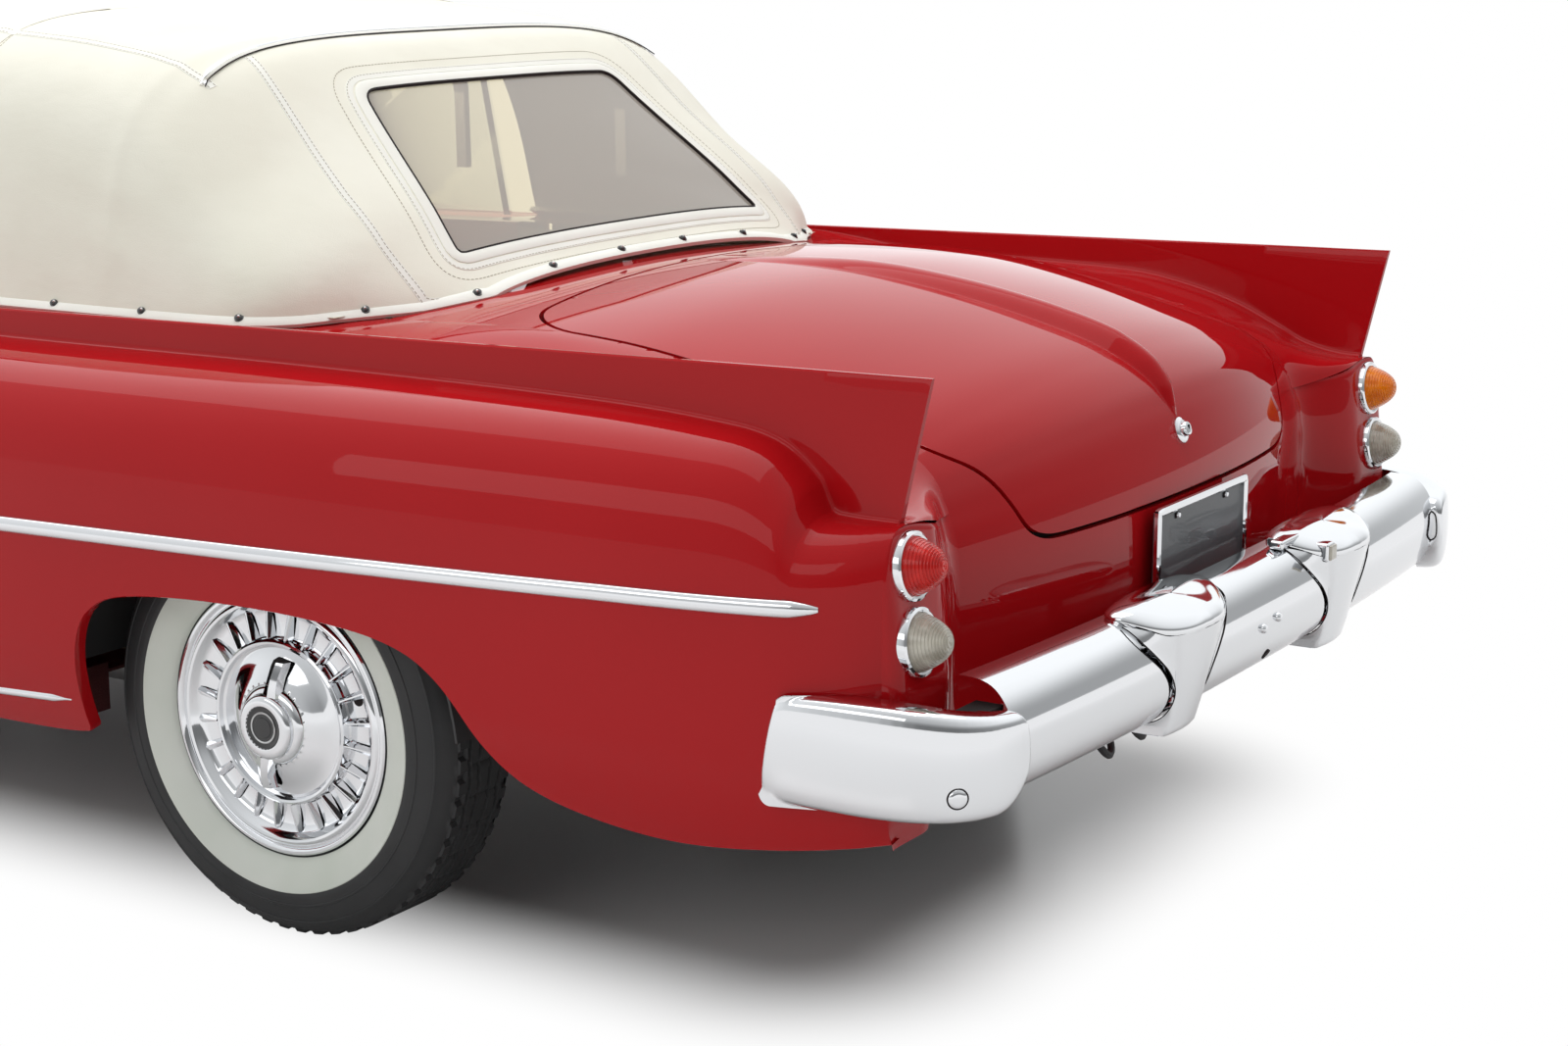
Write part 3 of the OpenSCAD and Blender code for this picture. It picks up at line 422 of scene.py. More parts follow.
def turned(bits, profile, at, axis, n=72, pick=0, picks=None, wobble=None):
    """Turns (radius, along) points about an axis through at."""
    axis = np.asarray(axis, float)
    axis = axis / np.linalg.norm(axis)
    side = np.cross(axis, [0.0, 0.0, 1.0])
    if np.linalg.norm(side) < 1e-3:
        side = np.cross(axis, [1.0, 0.0, 0.0])
    side /= np.linalg.norm(side)
    up = np.cross(side, axis)
    a = np.linspace(0, 2 * math.pi, n, endpoint=False)
    pr = np.asarray(profile, float)
    ring = np.cos(a)[:, None] * side + np.sin(a)[:, None] * up
    g = (np.asarray(at, float) + ring[None, :, :] * pr[:, 0][:, None, None]
         + axis * pr[:, 1][:, None, None])
    if wobble is not None:
        g = wobble(g, pr)
    if picks is None:
        bits.grid(g, False, pick, close_cols=True)
    else:
        start = 0
        for end, p in picks:
            bits.grid(g[start:end + 1], False, p, close_cols=True)
            start = end
    return g


def block(bits, low, high, pick=0, round_by=0.0):
    """Box with slightly cut edges."""
    lo, hi, r = np.array(low, float), np.array(high, float), round_by
    if r <= 0:
        c = np.array([[x, y, z] for x in (lo[0], hi[0]) for y in (lo[1], hi[1]) for z in (lo[2], hi[2])])
        f = [[0, 1, 3, 2], [4, 6, 7, 5], [0, 4, 5, 1], [2, 3, 7, 6], [0, 2, 6, 4], [1, 5, 7, 3]]
        return bits.add(c, f, pick)
    return pillow(bits, (lo + hi) / 2, (hi - lo) / 2, r, pick)


def pillow(bits, centre, half, r, pick=0, bulge=(0, 0, 0), n=5, lean=0.0):
    """Rounded box, with optional bulge on each pair of faces."""
    centre, half = np.asarray(centre, float), np.asarray(half, float)
    r = min(r, *(half * 0.98))
    for axis in range(3):
        for sign in (-1, 1):
            a, b = [k for k in range(3) if k != axis]

            def edge(h):
                q = np.linspace(0, math.pi / 4, n)
                inner = np.linspace(-(h - r), h - r, max(4, int(h / 18)))
                return inner, q
            ia, q = edge(half[a])
            ib, _ = edge(half[b])
            ang_a = np.concatenate([-q[::-1], np.zeros(len(ia) - 2), q])
            pos_a = np.concatenate([np.full(n, ia[0]), ia[1:-1], np.full(n, ia[-1])])
            ang_b = np.concatenate([-q[::-1], np.zeros(len(ib) - 2), q])
            pos_b = np.concatenate([np.full(n, ib[0]), ib[1:-1], np.full(n, ib[-1])])
            ta, tyre = np.tan(ang_a), np.tan(ang_b)
            A, B = np.meshgrid(ta, tyre, indexing="ij")
            PA, PB = np.meshgrid(pos_a, pos_b, indexing="ij")
            d = np.stack([A, B, np.ones_like(A)], axis=2)
            d /= np.linalg.norm(d, axis=2, keepdims=True)
            g = np.zeros(A.shape + (3,))
            g[..., a] = PA + r * d[..., 0]
            g[..., b] = PB + r * d[..., 1]
            swell = (bulge[axis] * np.clip(1 - (PA / half[a]) ** 2, 0, 1)
                     * np.clip(1 - (PB / half[b]) ** 2, 0, 1))
            g[..., axis] = sign * (half[axis] - r + r * d[..., 2] + swell)
            if lean:
                g[..., 0] -= lean * (g[..., 2] + half[2])
            g = g + centre
            turn = (sign > 0) == (axis == 1)
            bits.grid(g, turn, pick)
    return bits


# ---------------------------------------------------------------- body surfaces
def side_y(x):
    """Distance of the body side from the middle."""
    return HALF_WIDTH + curve(x, WIDTH_LINE)


def fin_top(x):
    """Height of the crest of the fin, or of the shoulder ahead of it."""
    return np.maximum(905 - 0.0208 * x, curve(x, SHOULDER_LINE) + 2)


def fin_foot(x):
    """Height at which the fin meets the deck."""
    return np.minimum(curve(x, INNER_LINE), fin_top(x) - 1)


def tuck(z):
    """How far the side is drawn in towards the sill."""
    return np.where(z < 450, 45 * ((450 - z) / 170) ** 2, 0)


def spine(u, y):
    """Height of the rib along the middle of the boot lid."""
    half = np.interp(u, [1.0, 3.0, 5.0, 6.4, 7.4, 8.1, 8.35], [46, 44, 40, 33, 22, 9, 1])
    tall = np.interp(u, [1.0, 2.0, 3.2, 4.6, 5.6, 6.6, 7.4, 8.1, 8.35], [0, 7, 15, 22, 24, 21, 14, 5, 0])
    r = np.clip(np.abs(y) / half, 0, 1)
    return tall * np.where(r < 1, (1 - r ** 2.2) ** 1.25, 0)


def deck(u, y, rib=False):
    """Point of the rear deck at station u and a distance y from the middle."""
    u, y = np.broadcast_arrays(np.asarray(u, float), np.asarray(y, float))
    q = (y / LID_Y) ** 2
    x = curve(u, DECK_X) + curve(u, DECK_TURN) * q
    z = curve(u, DECK_Z) - curve(u, DECK_DROP) * q
    g = np.stack([x, y, z], axis=-1)
    if rib:
        e = 0.05
        a = np.stack([curve(u + e, DECK_X) - curve(u - e, DECK_X), 0 * u,
                      curve(u + e, DECK_Z) - curve(u - e, DECK_Z)], axis=-1)
        n = np.stack([a[..., 2], 0 * u, -a[..., 0]], axis=-1)
        n /= np.linalg.norm(n, axis=-1, keepdims=True)
        g = g + n * spine(u, y)[..., None]
    return g


def lid_rear(a):
    """Station of the rear edge of the lid at a distance from the middle."""
    return curve(a, LID_REAR)


def deck_normal(u, y):
    """Normal of the deck, with its steps along u and along y."""
    e = 0.02
    a = deck(u + e, y) - deck(u - e, y)
    b = deck(u, y + 1) - deck(u, y - 1)
    n = np.cross(b, a)
    return n / np.linalg.norm(n, axis=-1, keepdims=True), a / (2 * e), b / 2


def outline_half():
    """Lid outline from the front middle round the left side to the rear middle, as (u, y)."""
    a1 = np.linspace(0, 490, 30)
    t = np.linspace(0, math.pi / 2, 24)[1:]
    y2 = 490 + 110 * np.sin(t)
    u2 = 1 + 0.62 * (1 - np.cos(t))
    u3 = np.linspace(1.62, 5.1, 60)[1:]
    a4 = np.concatenate([np.linspace(600, 480, 60)[1:], np.linspace(480, 440, 50)[1:],
                         np.linspace(440, 0, 40)[1:]])
    u = np.concatenate([0 * a1 + 1, u2, u3, lid_rear(a4)])
    y = np.concatenate([a1, y2, 0 * u3 + 600, a4])
    p = deck(u, y)
    d = np.concatenate([[0], np.cumsum(np.linalg.norm(np.diff(p, axis=0), axis=1))])
    s = np.arange(0, d[-1], 9.0)
    s = np.append(s, d[-1])
    uy = np.stack([np.interp(s, d, u), np.interp(s, d, y)], axis=1)
    for _ in range(3):
        uy[1:-1] = (uy[:-2] + 2 * uy[1:-1] + uy[2:]) / 4
    return uy


def shifted(uy, g):
    """Outline moved outwards by g millimetres along the surface."""
    p = deck(uy[:, 0], uy[:, 1])
    t = np.gradient(p, axis=0)
    t[0], t[-1] = [0, 1, 0], [0, -1, 0]
    n, du, dy = deck_normal(uy[:, 0], uy[:, 1])
    out = np.cross(t, n)
    out /= np.linalg.norm(out, axis=1, keepdims=True)
    res = []
    for k in range(len(uy)):
        m = np.stack([du[k], dy[k]], axis=1)
        s, *_ = np.linalg.lstsq(m, out[k] * g, rcond=None)
        res.append(uy[k] + s)
    res = np.array(res)
    res[0, 1] = res[-1, 1] = 0
    return res


OUTLINE = outline_half()
if np.dot((deck(*shifted(OUTLINE, 7)[0]) - deck(*OUTLINE[0])), [1, 0, 0]) < 0:
    SIGN = -1.0
else:
    SIGN = 1.0
HOLE = shifted(OUTLINE, SIGN * GAP)

SILL = even(rounded(SILL_LINE, 3), step=9.0)
STATIONS = np.unique(np.round(np.concatenate([np.arange(-1012, DOOR_REAR - GAP, 14.0), SILL[:, 0],
                                              [DOOR_REAR - GAP]]), 2))
STATIONS = STATIONS[(STATIONS >= -1013) & (STATIONS <= DOOR_REAR - GAP)]
STATIONS = STATIONS[np.concatenate([[True], np.diff(STATIONS) > 0.8])]
U_DENSE = np.linspace(0, 9, 1801)
X_DENSE = curve(U_DENSE, TAIL_STATION)


def u_of(x):
    """Station of the tail at a place x."""
    return np.interp(-np.asarray(x, float), -X_DENSE, U_DENSE)


def fillet(points, at, times=5, reach=5):
    """Rounds the corner near one index of a dense polyline."""
    p = np.array(points)
    a, b = max(at - reach, 1), min(at + reach, len(p) - 2)
    for _ in range(times):
        p[a:b + 1] = (p[a - 1:b] + 2 * p[a:b + 1] + p[a + 1:b + 2]) / 4
    return p


def section(x, z0, xg, zg, top, turn=0.0, lip=True, roll_to=GUTTER_Y):
    """Cross section of a body side, from the sill over the shoulder and fin to the gutter."""
    w, s, foot = float(side_y(x)), float(curve(x, SHOULDER_LINE)), float(fin_foot(x))
    has_fin = top > foot + 3
    z = z0 + (SHOULDER_Z - z0) * np.linspace(0, 1, 24)
    side = np.stack([0 * z + x, w - tuck(z), z], axis=1)
    first = side[0]
    edge = np.array([[x, first[1] - 22, z0 + 3], [x, first[1] - 12, z0 + 0.5], [x, first[1] - 3, z0 - 1.5]])
    if not lip:
        edge = np.array([[x, first[1] - 3, z0 + 1], [x, first[1] - 1.5, z0 + 0.4], [x, first[1] - 0.5, z0]])
    t = np.radians(np.linspace(0, 90, 40))[1:]
    should = np.stack([0 * t + x, FIN_OUT + (w - FIN_OUT) * np.cos(t) ** 0.8,
                       SHOULDER_Z + (s - SHOULDER_Z) * np.sin(t) ** 0.8], axis=1)
    should[-1, 1] = FIN_OUT
    should = np.concatenate([side[-1:], should])
    should = even(should, 30)[1:]
    lean = 45 * smooth((-x - 700) / 313) / 190 if has_fin else 0.0
    if top - s > 45:
        rise = np.concatenate([[3, 6, 9, 13, 18], np.linspace(26, top - s - 2.5, 8)])
    else:
        rise = np.linspace(0, max(top - s - 1, 0.3), 14)[1:]
    zo = s + rise
    outer = np.stack([x - lean * (zo - s), FIN_OUT - rise / 190, zo], axis=1)
    crest = np.array([[x - lean * (top - s), FIN_OUT - 2.4, top], [x - lean * (top - s), FIN_IN + 2.4, top]])
    if top - foot > 45:
        fall = np.concatenate([np.linspace(top - foot - 2.5, 26, 8), [18, 13, 9, 6, 3]])
    else:
        fall = np.linspace(max(top - foot - 1, 0.3), 0, 14)[:-1]
    zi = foot + fall
    inner = np.stack([x - lean * (zi - foot), FIN_IN + fall / 190, zi], axis=1)
    k = np.linspace(0, 1, 34)
    y = FIN_IN + (roll_to - FIN_IN) * k
    b = smooth((y - GUTTER_Y) / 150)
    span = GUTTER_Y - FIN_IN
    kk = (y - FIN_IN) / span
    zz = foot * (1 - smooth(kk)) + zg * smooth(kk) + turn * (kk ** 2 * (kk - 1))
    roll = np.stack([xg + (x - xg) * b, y, zz], axis=1)
    p = np.concatenate([edge, side, should, outer, crest, inner, roll])
    corner_out = 3 + 24 + 29 - 1
    corner_in = corner_out + 13 + 2 + 13 + 1
    p = fillet(p, corner_out, 4, 4)
    p = fillet(p, corner_in, 6, 5)
    return p


def roll_turn(u):
    """Slope handed to the body side where it meets the deck."""
    return -float(curve(u, DECK_DROP)) * GUTTER_Y / LID_Y ** 2 * (GUTTER_Y - FIN_IN)


def quarter_row(x, top=None):
    """Cross section of the rear quarter."""
    z0 = float(np.interp(x, SILL[:, 0], SILL[:, 1]))
    u = float(u_of(x))
    if x > 33:
        xg, zg, turn = x, float(deck(0, GUTTER_Y)[2]), 0.0
    else:
        g = deck(u, GUTTER_Y)
        xg, zg, turn = float(g[0]), float(g[2]), roll_turn(u)
    return section(x, z0, xg, zg, float(fin_top(x)) if top is None else top, turn)


rows = [quarter_row(x) for x in STATIONS[::-1]]
for x in (-1014.0, -1016.0, -1018.5, -1020.5, -1021.6, -1022.0):
    rows.append(quarter_row(x, LEDGE_Z + 0.6))
QUARTER = np.array(rows)


# Tail beside the lid: pods that carry the lamps
def pod_x(z):
    """Rear face of the pod that carries the lamps."""
    return TAIL_X - 18 * np.clip((LEDGE_Z - z) / 150, 0, 1.4) + 30 * smooth((430 - z) / 130)


def pod_edge(z):
    """Outer edge of the pod."""
    w = float(side_y(TAIL_X))
    rise = np.clip((z - SHOULDER_Z) / (LEDGE_Z - SHOULDER_Z), 0, 1)
    high = FIN_OUT + (w - FIN_OUT) * (1 - rise ** 2.5) ** 0.4
    return np.where(z > SHOULDER_Z, high, w - tuck(z))


TAIL_U = np.linspace(9, 14, 201)
TAIL_LINE = deck(TAIL_U, GUTTER_Y)


def tail_inner_x(z):
    """Rear face of the tail panel beside the lid."""
    return np.interp(-z, -TAIL_LINE[:, 2], TAIL_LINE[:, 0])


def tail_side(t, s):
    """Point of the tail beside the lid: t goes outwards and s goes down, both from 0 to 1."""
    g = TAIL_LINE[0]
    top = g[2] + (LEDGE_Z - g[2]) * smooth(t * 1.05)
    z = top + (303 - top) * s
    edge = pod_edge(z)
    y = GUTTER_Y + (edge - GUTTER_Y) * t
    inner, pod = tail_inner_x(z), pod_x(z)
    k = np.clip((y - GUTTER_Y) / 150, 0, 1)
    b = smooth(k)
    m0 = 2 * 66 * GUTTER_Y / LID_Y ** 2 * 150
    c = np.clip((y - edge + 26) / 26, 0, 1)
    x = inner + (pod - inner) * b + m0 * k * (1 - k) ** 2
    x = x + (TAIL_X - x) * (1 - np.sqrt(np.clip(1 - c ** 2, 0, 1)))
    return np.stack([x, y, z], axis=-1)


T = np.concatenate([np.linspace(0, 0.86, 44), np.linspace(0.87, 1, 26)])
S = np.concatenate([[0, 0.006, 0.014, 0.026], np.linspace(0.04, 1, 60)])
TG, SG = np.meshgrid(T, S, indexing="ij")
POD = tail_side(TG, SG)
# round the top edge of the pod over its first few millimetres
POD[:, 0, 0] += 4.0 * smooth((POD[:, 0, 1] - GUTTER_Y - 40) / 80)
POD[:, 1, 0] += 1.2 * smooth((POD[:, 1, 1] - GUTTER_Y - 40) / 80)

shell = Bits()
shell.both(QUARTER)
shell.both(POD, True)
# tail and rear deck between the gutters, outside the lid opening
front_part = HOLE[:np.argmin(np.abs(HOLE[:, 0] - 1.62)) + 1]
rear_start = int(np.argmax(HOLE[:, 0] > 5.12))
rear_part = HOLE[rear_start:]
front_part = front_part[np.concatenate([[True], np.diff(front_part[:, 1]) > 0.4])]
front_part[:, 1] = np.minimum(front_part[:, 1], GUTTER_Y)
front_part[-1, 1] = GUTTER_Y
K = np.linspace(0, 1, 26)
FRONT = np.stack([deck(-0.2 + (u + 0.2) * K, 0 * K + y, False) for u, y in front_part])
rear_part[0, 1] = GUTTER_Y
rear_part[:, 1] = np.minimum(rear_part[:, 1], GUTTER_Y)
K2 = np.concatenate([np.linspace(0, 0.06, 4)[:-1], np.linspace(0.06, 1, 60)])
REAR = np.stack([deck(u + (13.95 - u) * K2, 0 * K2 + y) for u, y in rear_part])
shell.both(FRONT, True)
shell.both(REAR, False)
# gutter side of the opening and turned-down flanges all round the hole
HOLE_P = deck(HOLE[:, 0], HOLE[:, 1])
HOLE_N, _, _ = deck_normal(HOLE[:, 0], HOLE[:, 1])
HOLE_N *= np.where(HOLE_N[:, 2:3] < -0.2, -1, 1)
LID_P = deck(OUTLINE[:, 0], OUTLINE[:, 1])
flange = np.stack([HOLE_P, HOLE_P - 1.5 * HOLE_N, HOLE_P - 20 * HOLE_N], axis=1)
shell.both(flange, False)
# bottom edge of the tail turned under
low = REAR[::-1, -1]
under = np.stack([low, low + [14, 0, -4], low + [40, 0, -3]], axis=1)
shell.both(under, False)


# boot lid: its front and rear edges
turn_at = int(np.argmax(OUTLINE[:, 1]))
LID_FRONT = OUTLINE[:turn_at + 1]
side_end = int(np.argmax(OUTLINE[:, 0] > 5.1 - 0.02))
LID_BACK = OUTLINE[side_end:]


def lid_limits(a):
    """Front and rear limit of the lid at a distance a from the middle."""
    f = np.interp(a, LID_FRONT[:, 1], LID_FRONT[:, 0])
    b = LID_BACK[::-1]
    r = np.interp(a, b[:, 1], b[:, 0])
    return f, r


edge_y = float(LID_BACK[0, 1])
A = np.concatenate([np.linspace(0, 50, 26), np.linspace(50, 430, 30)[1:], np.linspace(430, 500, 30)[1:],
                    np.linspace(500, edge_y, 26)[1:]])
F, R = lid_limits(A)
ROWS_S = np.concatenate([[0, 0.004], np.linspace(0.012, 0.988, 84), [0.996, 1]])
LID = np.stack([deck(f + (r - f) * ROWS_S, 0 * ROWS_S + a, True) for a, f, r in zip(A, F, R)])
lid = Bits()
lid.grid(LID, True)
lid.grid(mirror(LID), False)
LID_N, _, _ = deck_normal(OUTLINE[:, 0], OUTLINE[:, 1])
LID_N *= np.where(LID_N[:, 2:3] < -0.2, -1, 1)
rim = np.stack([LID_P, LID_P - 1.5 * LID_N, LID_P - 14 * LID_N], axis=1)
lid.both(rim, True)
# inner pressing of the lid, in the darker red of painted shade
INNER_L = np.stack([deck(f + (r - f) * np.linspace(0.01, 0.99, 30), np.full(30, a)) for a, f, r in
                    zip(A[::6], F[::6], R[::6])])
nn = normals_of(INNER_L)
nn *= np.sign(nn[..., 2:3] + 1e-9)
lid.grid(INNER_L - 13 * nn, False, 1)
lid.grid(mirror(INNER_L - 13 * nn), True, 1)
lid_obj = lid.make("boot_lid_skin", [RED, SHADED_RED], weld=0.00002, body="boot_lid", sharp=50,
                   slot_name="red_paint")
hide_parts("boot_lid")

# channel under the gap, in near-black painted shade
channel = Bits()
ch_in = shifted(OUTLINE, -SIGN * 26)
ch_out = shifted(OUTLINE, SIGN * (GAP + 3))
P1 = deck(ch_in[:, 0], ch_in[:, 1]) - 19 * LID_N
P2 = deck(ch_out[:, 0], ch_out[:, 1]) - 19 * HOLE_N
channel.both(np.stack([P1, P2], axis=1))
channel.make("lid_channel", PAINTED_GAP_SHADE, body="root", slot_name="red_paint")

body_obj = shell.make("rear_body", [RED], weld=0.00025, body="root", sharp=34, slot_name="red_paint")
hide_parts("quarter_left", "quarter_right", "deck_panel", "tail_panel")


# ---------------------------------------------------------------- doors, rockers, fenders, bonnet
def door_section(x):
    """Cross section of a door, with its inner edge and its lining."""
    p = section(x, DOOR_LOW, x, float(fin_foot(x)) - 4, float(fin_top(x)), 0.0, False, GUTTER_Y)
    cut = p[p.shape[0] - 34:][:16]
    top = p[:p.shape[0] - 34]
    keep = np.stack([cut[:, 0], np.linspace(FIN_IN, 712, 16),
                     cut[0, 2] - 8 * smooth(np.linspace(0, 1, 16))], axis=1)
    down = np.stack([np.full(12, x), np.full(12, 711.0), np.linspace(keep[-1, 2] - 3, DOOR_LOW + 6, 12)],
                    axis=1)
    return np.concatenate([top, keep, down])


DOOR_X = np.concatenate([[DOOR_REAR, DOOR_REAR + 2], np.arange(DOOR_REAR + 8, DOOR_FRONT - 4, 12.0),
                     [DOOR_FRONT - 2, DOOR_FRONT]])
DOOR = np.array([door_section(x) for x in DOOR_X])
for side, g, turn in (("left", DOOR, False), ("right", mirror(DOOR), True)):
    d = Bits()
    d.grid(g, turn)
    # closed ends and bottom
    for row, t in ((g[0], turn), (g[-1], not turn)):
        inner = row * [1, 0, 1] + [0, 760 if side == "left" else -760, 0]
        d.grid(np.stack([row, inner]), t)
    bottom = np.stack([g[:, 0], g[:, -1]])
    d.grid(bottom, not turn)
    ob = d.make("door_skin_" + side, [RED], weld=0.00002, body="door_" + side, sharp=40,
                slot_name="red_paint")
    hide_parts("door_" + side)
    # push-button handle on a chrome back plate
    s = 1 if side == "left" else -1
    h = Bits()
    y0 = float(side_y(900)) + 1.0
    strip(h, [[850 + k * 8, s * (y0 + 2 + 22 * math.sin(math.pi * k / 16)),
               704 - 0.4 * k] for k in range(17)],
          [0, 0, 1], tube_profile(8, 10), [0.7] + [1] * 15 + [0.7])
    turned(h, [[0, 9], [13, 9], [15, 4], [16, 0]], [1000, s * (y0 - 4), 700], [0, s, 0], 32)
    h.make("door_handle_" + side, CHROME, body="door_" + side, slot_name="chrome")

rocker = Bits()
rocker_x = np.arange(DOOR_REAR - GAP, DOOR_FRONT + GAP + 1, 18.0)
rocker_z = np.array([339, 337, 330, 320, 305, 290, 275, 264, 262, 262])
rocker_in = np.array([30, 3, 0, 0, 0, 0, 0, 0, 6, 60])
ROCKER = np.stack([np.stack([0 * rocker_z + x, side_y(x) - tuck(rocker_z) - rocker_in, rocker_z], axis=1)
                   for x in rocker_x])
rocker.both(ROCKER)
rocker.make("rocker_panels", RED, slot_name="red_paint")

ARCH = even(rounded([[x + WHEELBASE, z] for x, z in FRONT_ARCH], 3), step=12.0)
FENDER_X = np.unique(np.round(np.concatenate([np.arange(DOOR_FRONT + GAP, NOSE_X, 20.0), ARCH[:, 0],
                                              [NOSE_X]]), 2))
FENDER_X = FENDER_X[np.concatenate([[True], np.diff(FENDER_X) > 0.8])]


def bonnet_z(x, y):
    """Height of the bonnet and cowl."""
    return curve(x, BONNET_LINE) - BONNET_CROWN * (y / LID_Y) ** 2


def fender_row(x):
    """Cross section of a front fender."""
    z0 = float(np.interp(x, ARCH[:, 0], ARCH[:, 1])) if ARCH[0, 0] < x < ARCH[-1, 0] else (
        268.0 if x < WHEELBASE else 335.0)
    slope = -BONNET_CROWN * GUTTER_Y / LID_Y ** 2 * (GUTTER_Y - FIN_IN)
    return section(x, z0, x, float(bonnet_z(x, GUTTER_Y)), float(fin_foot(x)) + 1, slope)


FENDER = np.array([fender_row(x) for x in FENDER_X])
fender = Bits()
fender.both(FENDER, True)
g_edge = FENDER[:, -1]
fender.both(np.stack([g_edge, g_edge - [0, 0, 18]], axis=1), False)
fender_obj = fender.make("fender_skins", RED, weld=0.00002, sharp=40, slot_name="red_paint")
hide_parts("fender_left", "fender_right")

bonnet_across = np.concatenate([np.linspace(0, 560, 36), [575, 588, 596, 599, 600]])
bonnet_along = np.concatenate([[BONNET_REAR, BONNET_REAR + 2], np.linspace(BONNET_REAR + 10, NOSE_X - 6, 80),
                     [NOSE_X - 2, NOSE_X]])
bonnet_x, bonnet_y = np.meshgrid(bonnet_along, bonnet_across, indexing="ij")
RIDGE_RISE, RIDGE_HALF = 16, 38.0
ridge = (RIDGE_RISE * np.exp(-(bonnet_y / RIDGE_HALF) ** 2) * smooth((bonnet_x - BONNET_REAR) / 500)
         * (0.4 + 0.6 * smooth((NOSE_X - bonnet_x) / 300)))
BONNET = np.stack([bonnet_x, bonnet_y, bonnet_z(bonnet_x, bonnet_y) + ridge], axis=-1)
bonnet = Bits()
bonnet.both(BONNET)
bonnet.both(np.stack([BONNET[:, -1], BONNET[:, -1] - [0, 0, 12]], axis=1))
bonnet.both(np.stack([BONNET[0], BONNET[0] - [0, 0, 12]], axis=0))
bonnet.both(np.stack([BONNET[-1], BONNET[-1] - [0, 0, 12]], axis=0))
# underside of the bonnet, in the darker red of painted shade
bonnet.both((BONNET - [0, 0, 12])[::4, ::4], True, 1)
bonnet_obj = bonnet.make("bonnet_skin", [RED, SHADED_RED], weld=0.00002, body="bonnet", sharp=40,
                   slot_name="red_paint")
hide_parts("bonnet")
cowl_x, cowl_y = np.meshgrid(np.linspace(2040, BONNET_REAR - GAP, 12), np.linspace(0, GUTTER_Y, 40),
                             indexing="ij")
cowl = Bits()
cowl.both(np.stack([cowl_x, cowl_y, bonnet_z(cowl_x, cowl_y)], axis=-1))
cowl_edge = np.stack([cowl_x[-1], cowl_y[-1], bonnet_z(cowl_x[-1], cowl_y[-1])], axis=-1)
cowl.both(np.stack([cowl_edge, cowl_edge - [0, 0, 16]], axis=0))
cowl_obj = cowl.make("cowl_skin", RED, weld=0.00002, slot_name="red_paint")
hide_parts("cowl_panel")

# nose round the grille
def oval(a, half_w, half_h, n):
    """Rounded rectangle by its angle; a higher n gives squarer corners."""
    c, s = np.cos(a), np.sin(a)
    return half_w * np.sign(c) * np.abs(c) ** (2 / n), half_h * np.sign(s) * np.abs(s) ** (2 / n)


NOSE_AROUND, NOSE_OUTWARD = 240, 50
NOSE_HALF, NOSE_HIGH, NOSE_SQUARE = 892, 222, 5
aa = np.linspace(0, 2 * math.pi, NOSE_AROUND, endpoint=False)
iy, iz = oval(aa, 470, 105, 2.3)
oy, oz = oval(aa, NOSE_HALF, NOSE_HIGH, NOSE_SQUARE)
kk = np.linspace(0, 1, NOSE_OUTWARD)[None, :]
ny = iy[:, None] + (oy - iy)[:, None] * kk
nz = iz[:, None] + (oz - iz)[:, None] * kk
nr = ((np.abs(ny) / NOSE_HALF) ** NOSE_SQUARE + (np.abs(nz) / NOSE_HIGH) ** NOSE_SQUARE) ** 0.2
NOSE = np.stack([3630 + 190 * (1 - np.clip(nr, 0, 1) ** 5), ny, 565 + nz], axis=-1)
nose = Bits()
keep = []
nf = grid_faces(NOSE_AROUND, NOSE_OUTWARD, True)
flatn = NOSE.reshape(-1, 3)
for q in nf:
    c = flatn[q].mean(axis=0)
    if (abs(c[1]) - HEADLAMP_Y) ** 2 + (c[2] - HEADLAMP_Z) ** 2 > HEADLAMP_HOLE ** 2:
        keep.append(q)
nose.add(flatn, keep)
lipg = np.stack([NOSE[:, 0], NOSE[:, 0] - [45, 0, 0]], axis=1)
nose.grid(lipg, False, 0, close_rows=True)
nose_obj = nose.make("nose_skin", RED, weld=0.00002, sharp=40, slot_name="red_paint")
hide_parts("nose_panel")


# ---------------------------------------------------------------- soft top
BASE_Z = 890.0
CLOTH_COLS = 121


def top_row(x, n=CLOTH_COLS):
    """Points across the cloth at one station, from right to left."""
    zc = float(curve(x, TOP_CROWN))
    q, half = float(curve(x, TOP_SQUARE)), float(curve(x, TOP_HALF))
    e = float(ramp(x, TOP_EDGE))
    a0 = math.degrees(math.asin(min((max(e - BASE_Z, 1) / (zc - BASE_Z)) ** (q / 2), 0.98)))
    k = np.linspace(-1, 1, 801)
    a = np.radians(90 + (90 - a0) * k)
    c, h = np.abs(np.cos(a)) ** (2 / q), np.sin(a) ** (2 / q)
    y = np.sign(k) * (half - 70 * h * (zc - BASE_Z) / 450) * c
    p = np.stack([0 * k + x, y, BASE_Z + (zc - BASE_Z) * h], axis=1)
    return even(p, n)


CLOTH_X = np.concatenate([[-58, -55, -50], np.arange(-44, 780, 9.5), [778.5, 780.5],
                          np.arange(788, 1690, 12.0),
                     [1694, 1700]])
CLOTH_AT = np.array([top_row(x) for x in CLOTH_X])
CLOTH_UP = normals_of(CLOTH_AT)
CLOTH_UP *= np.sign(np.sum(CLOTH_UP * (CLOTH_AT - np.array([600, 0, 900])), axis=2))[..., None]
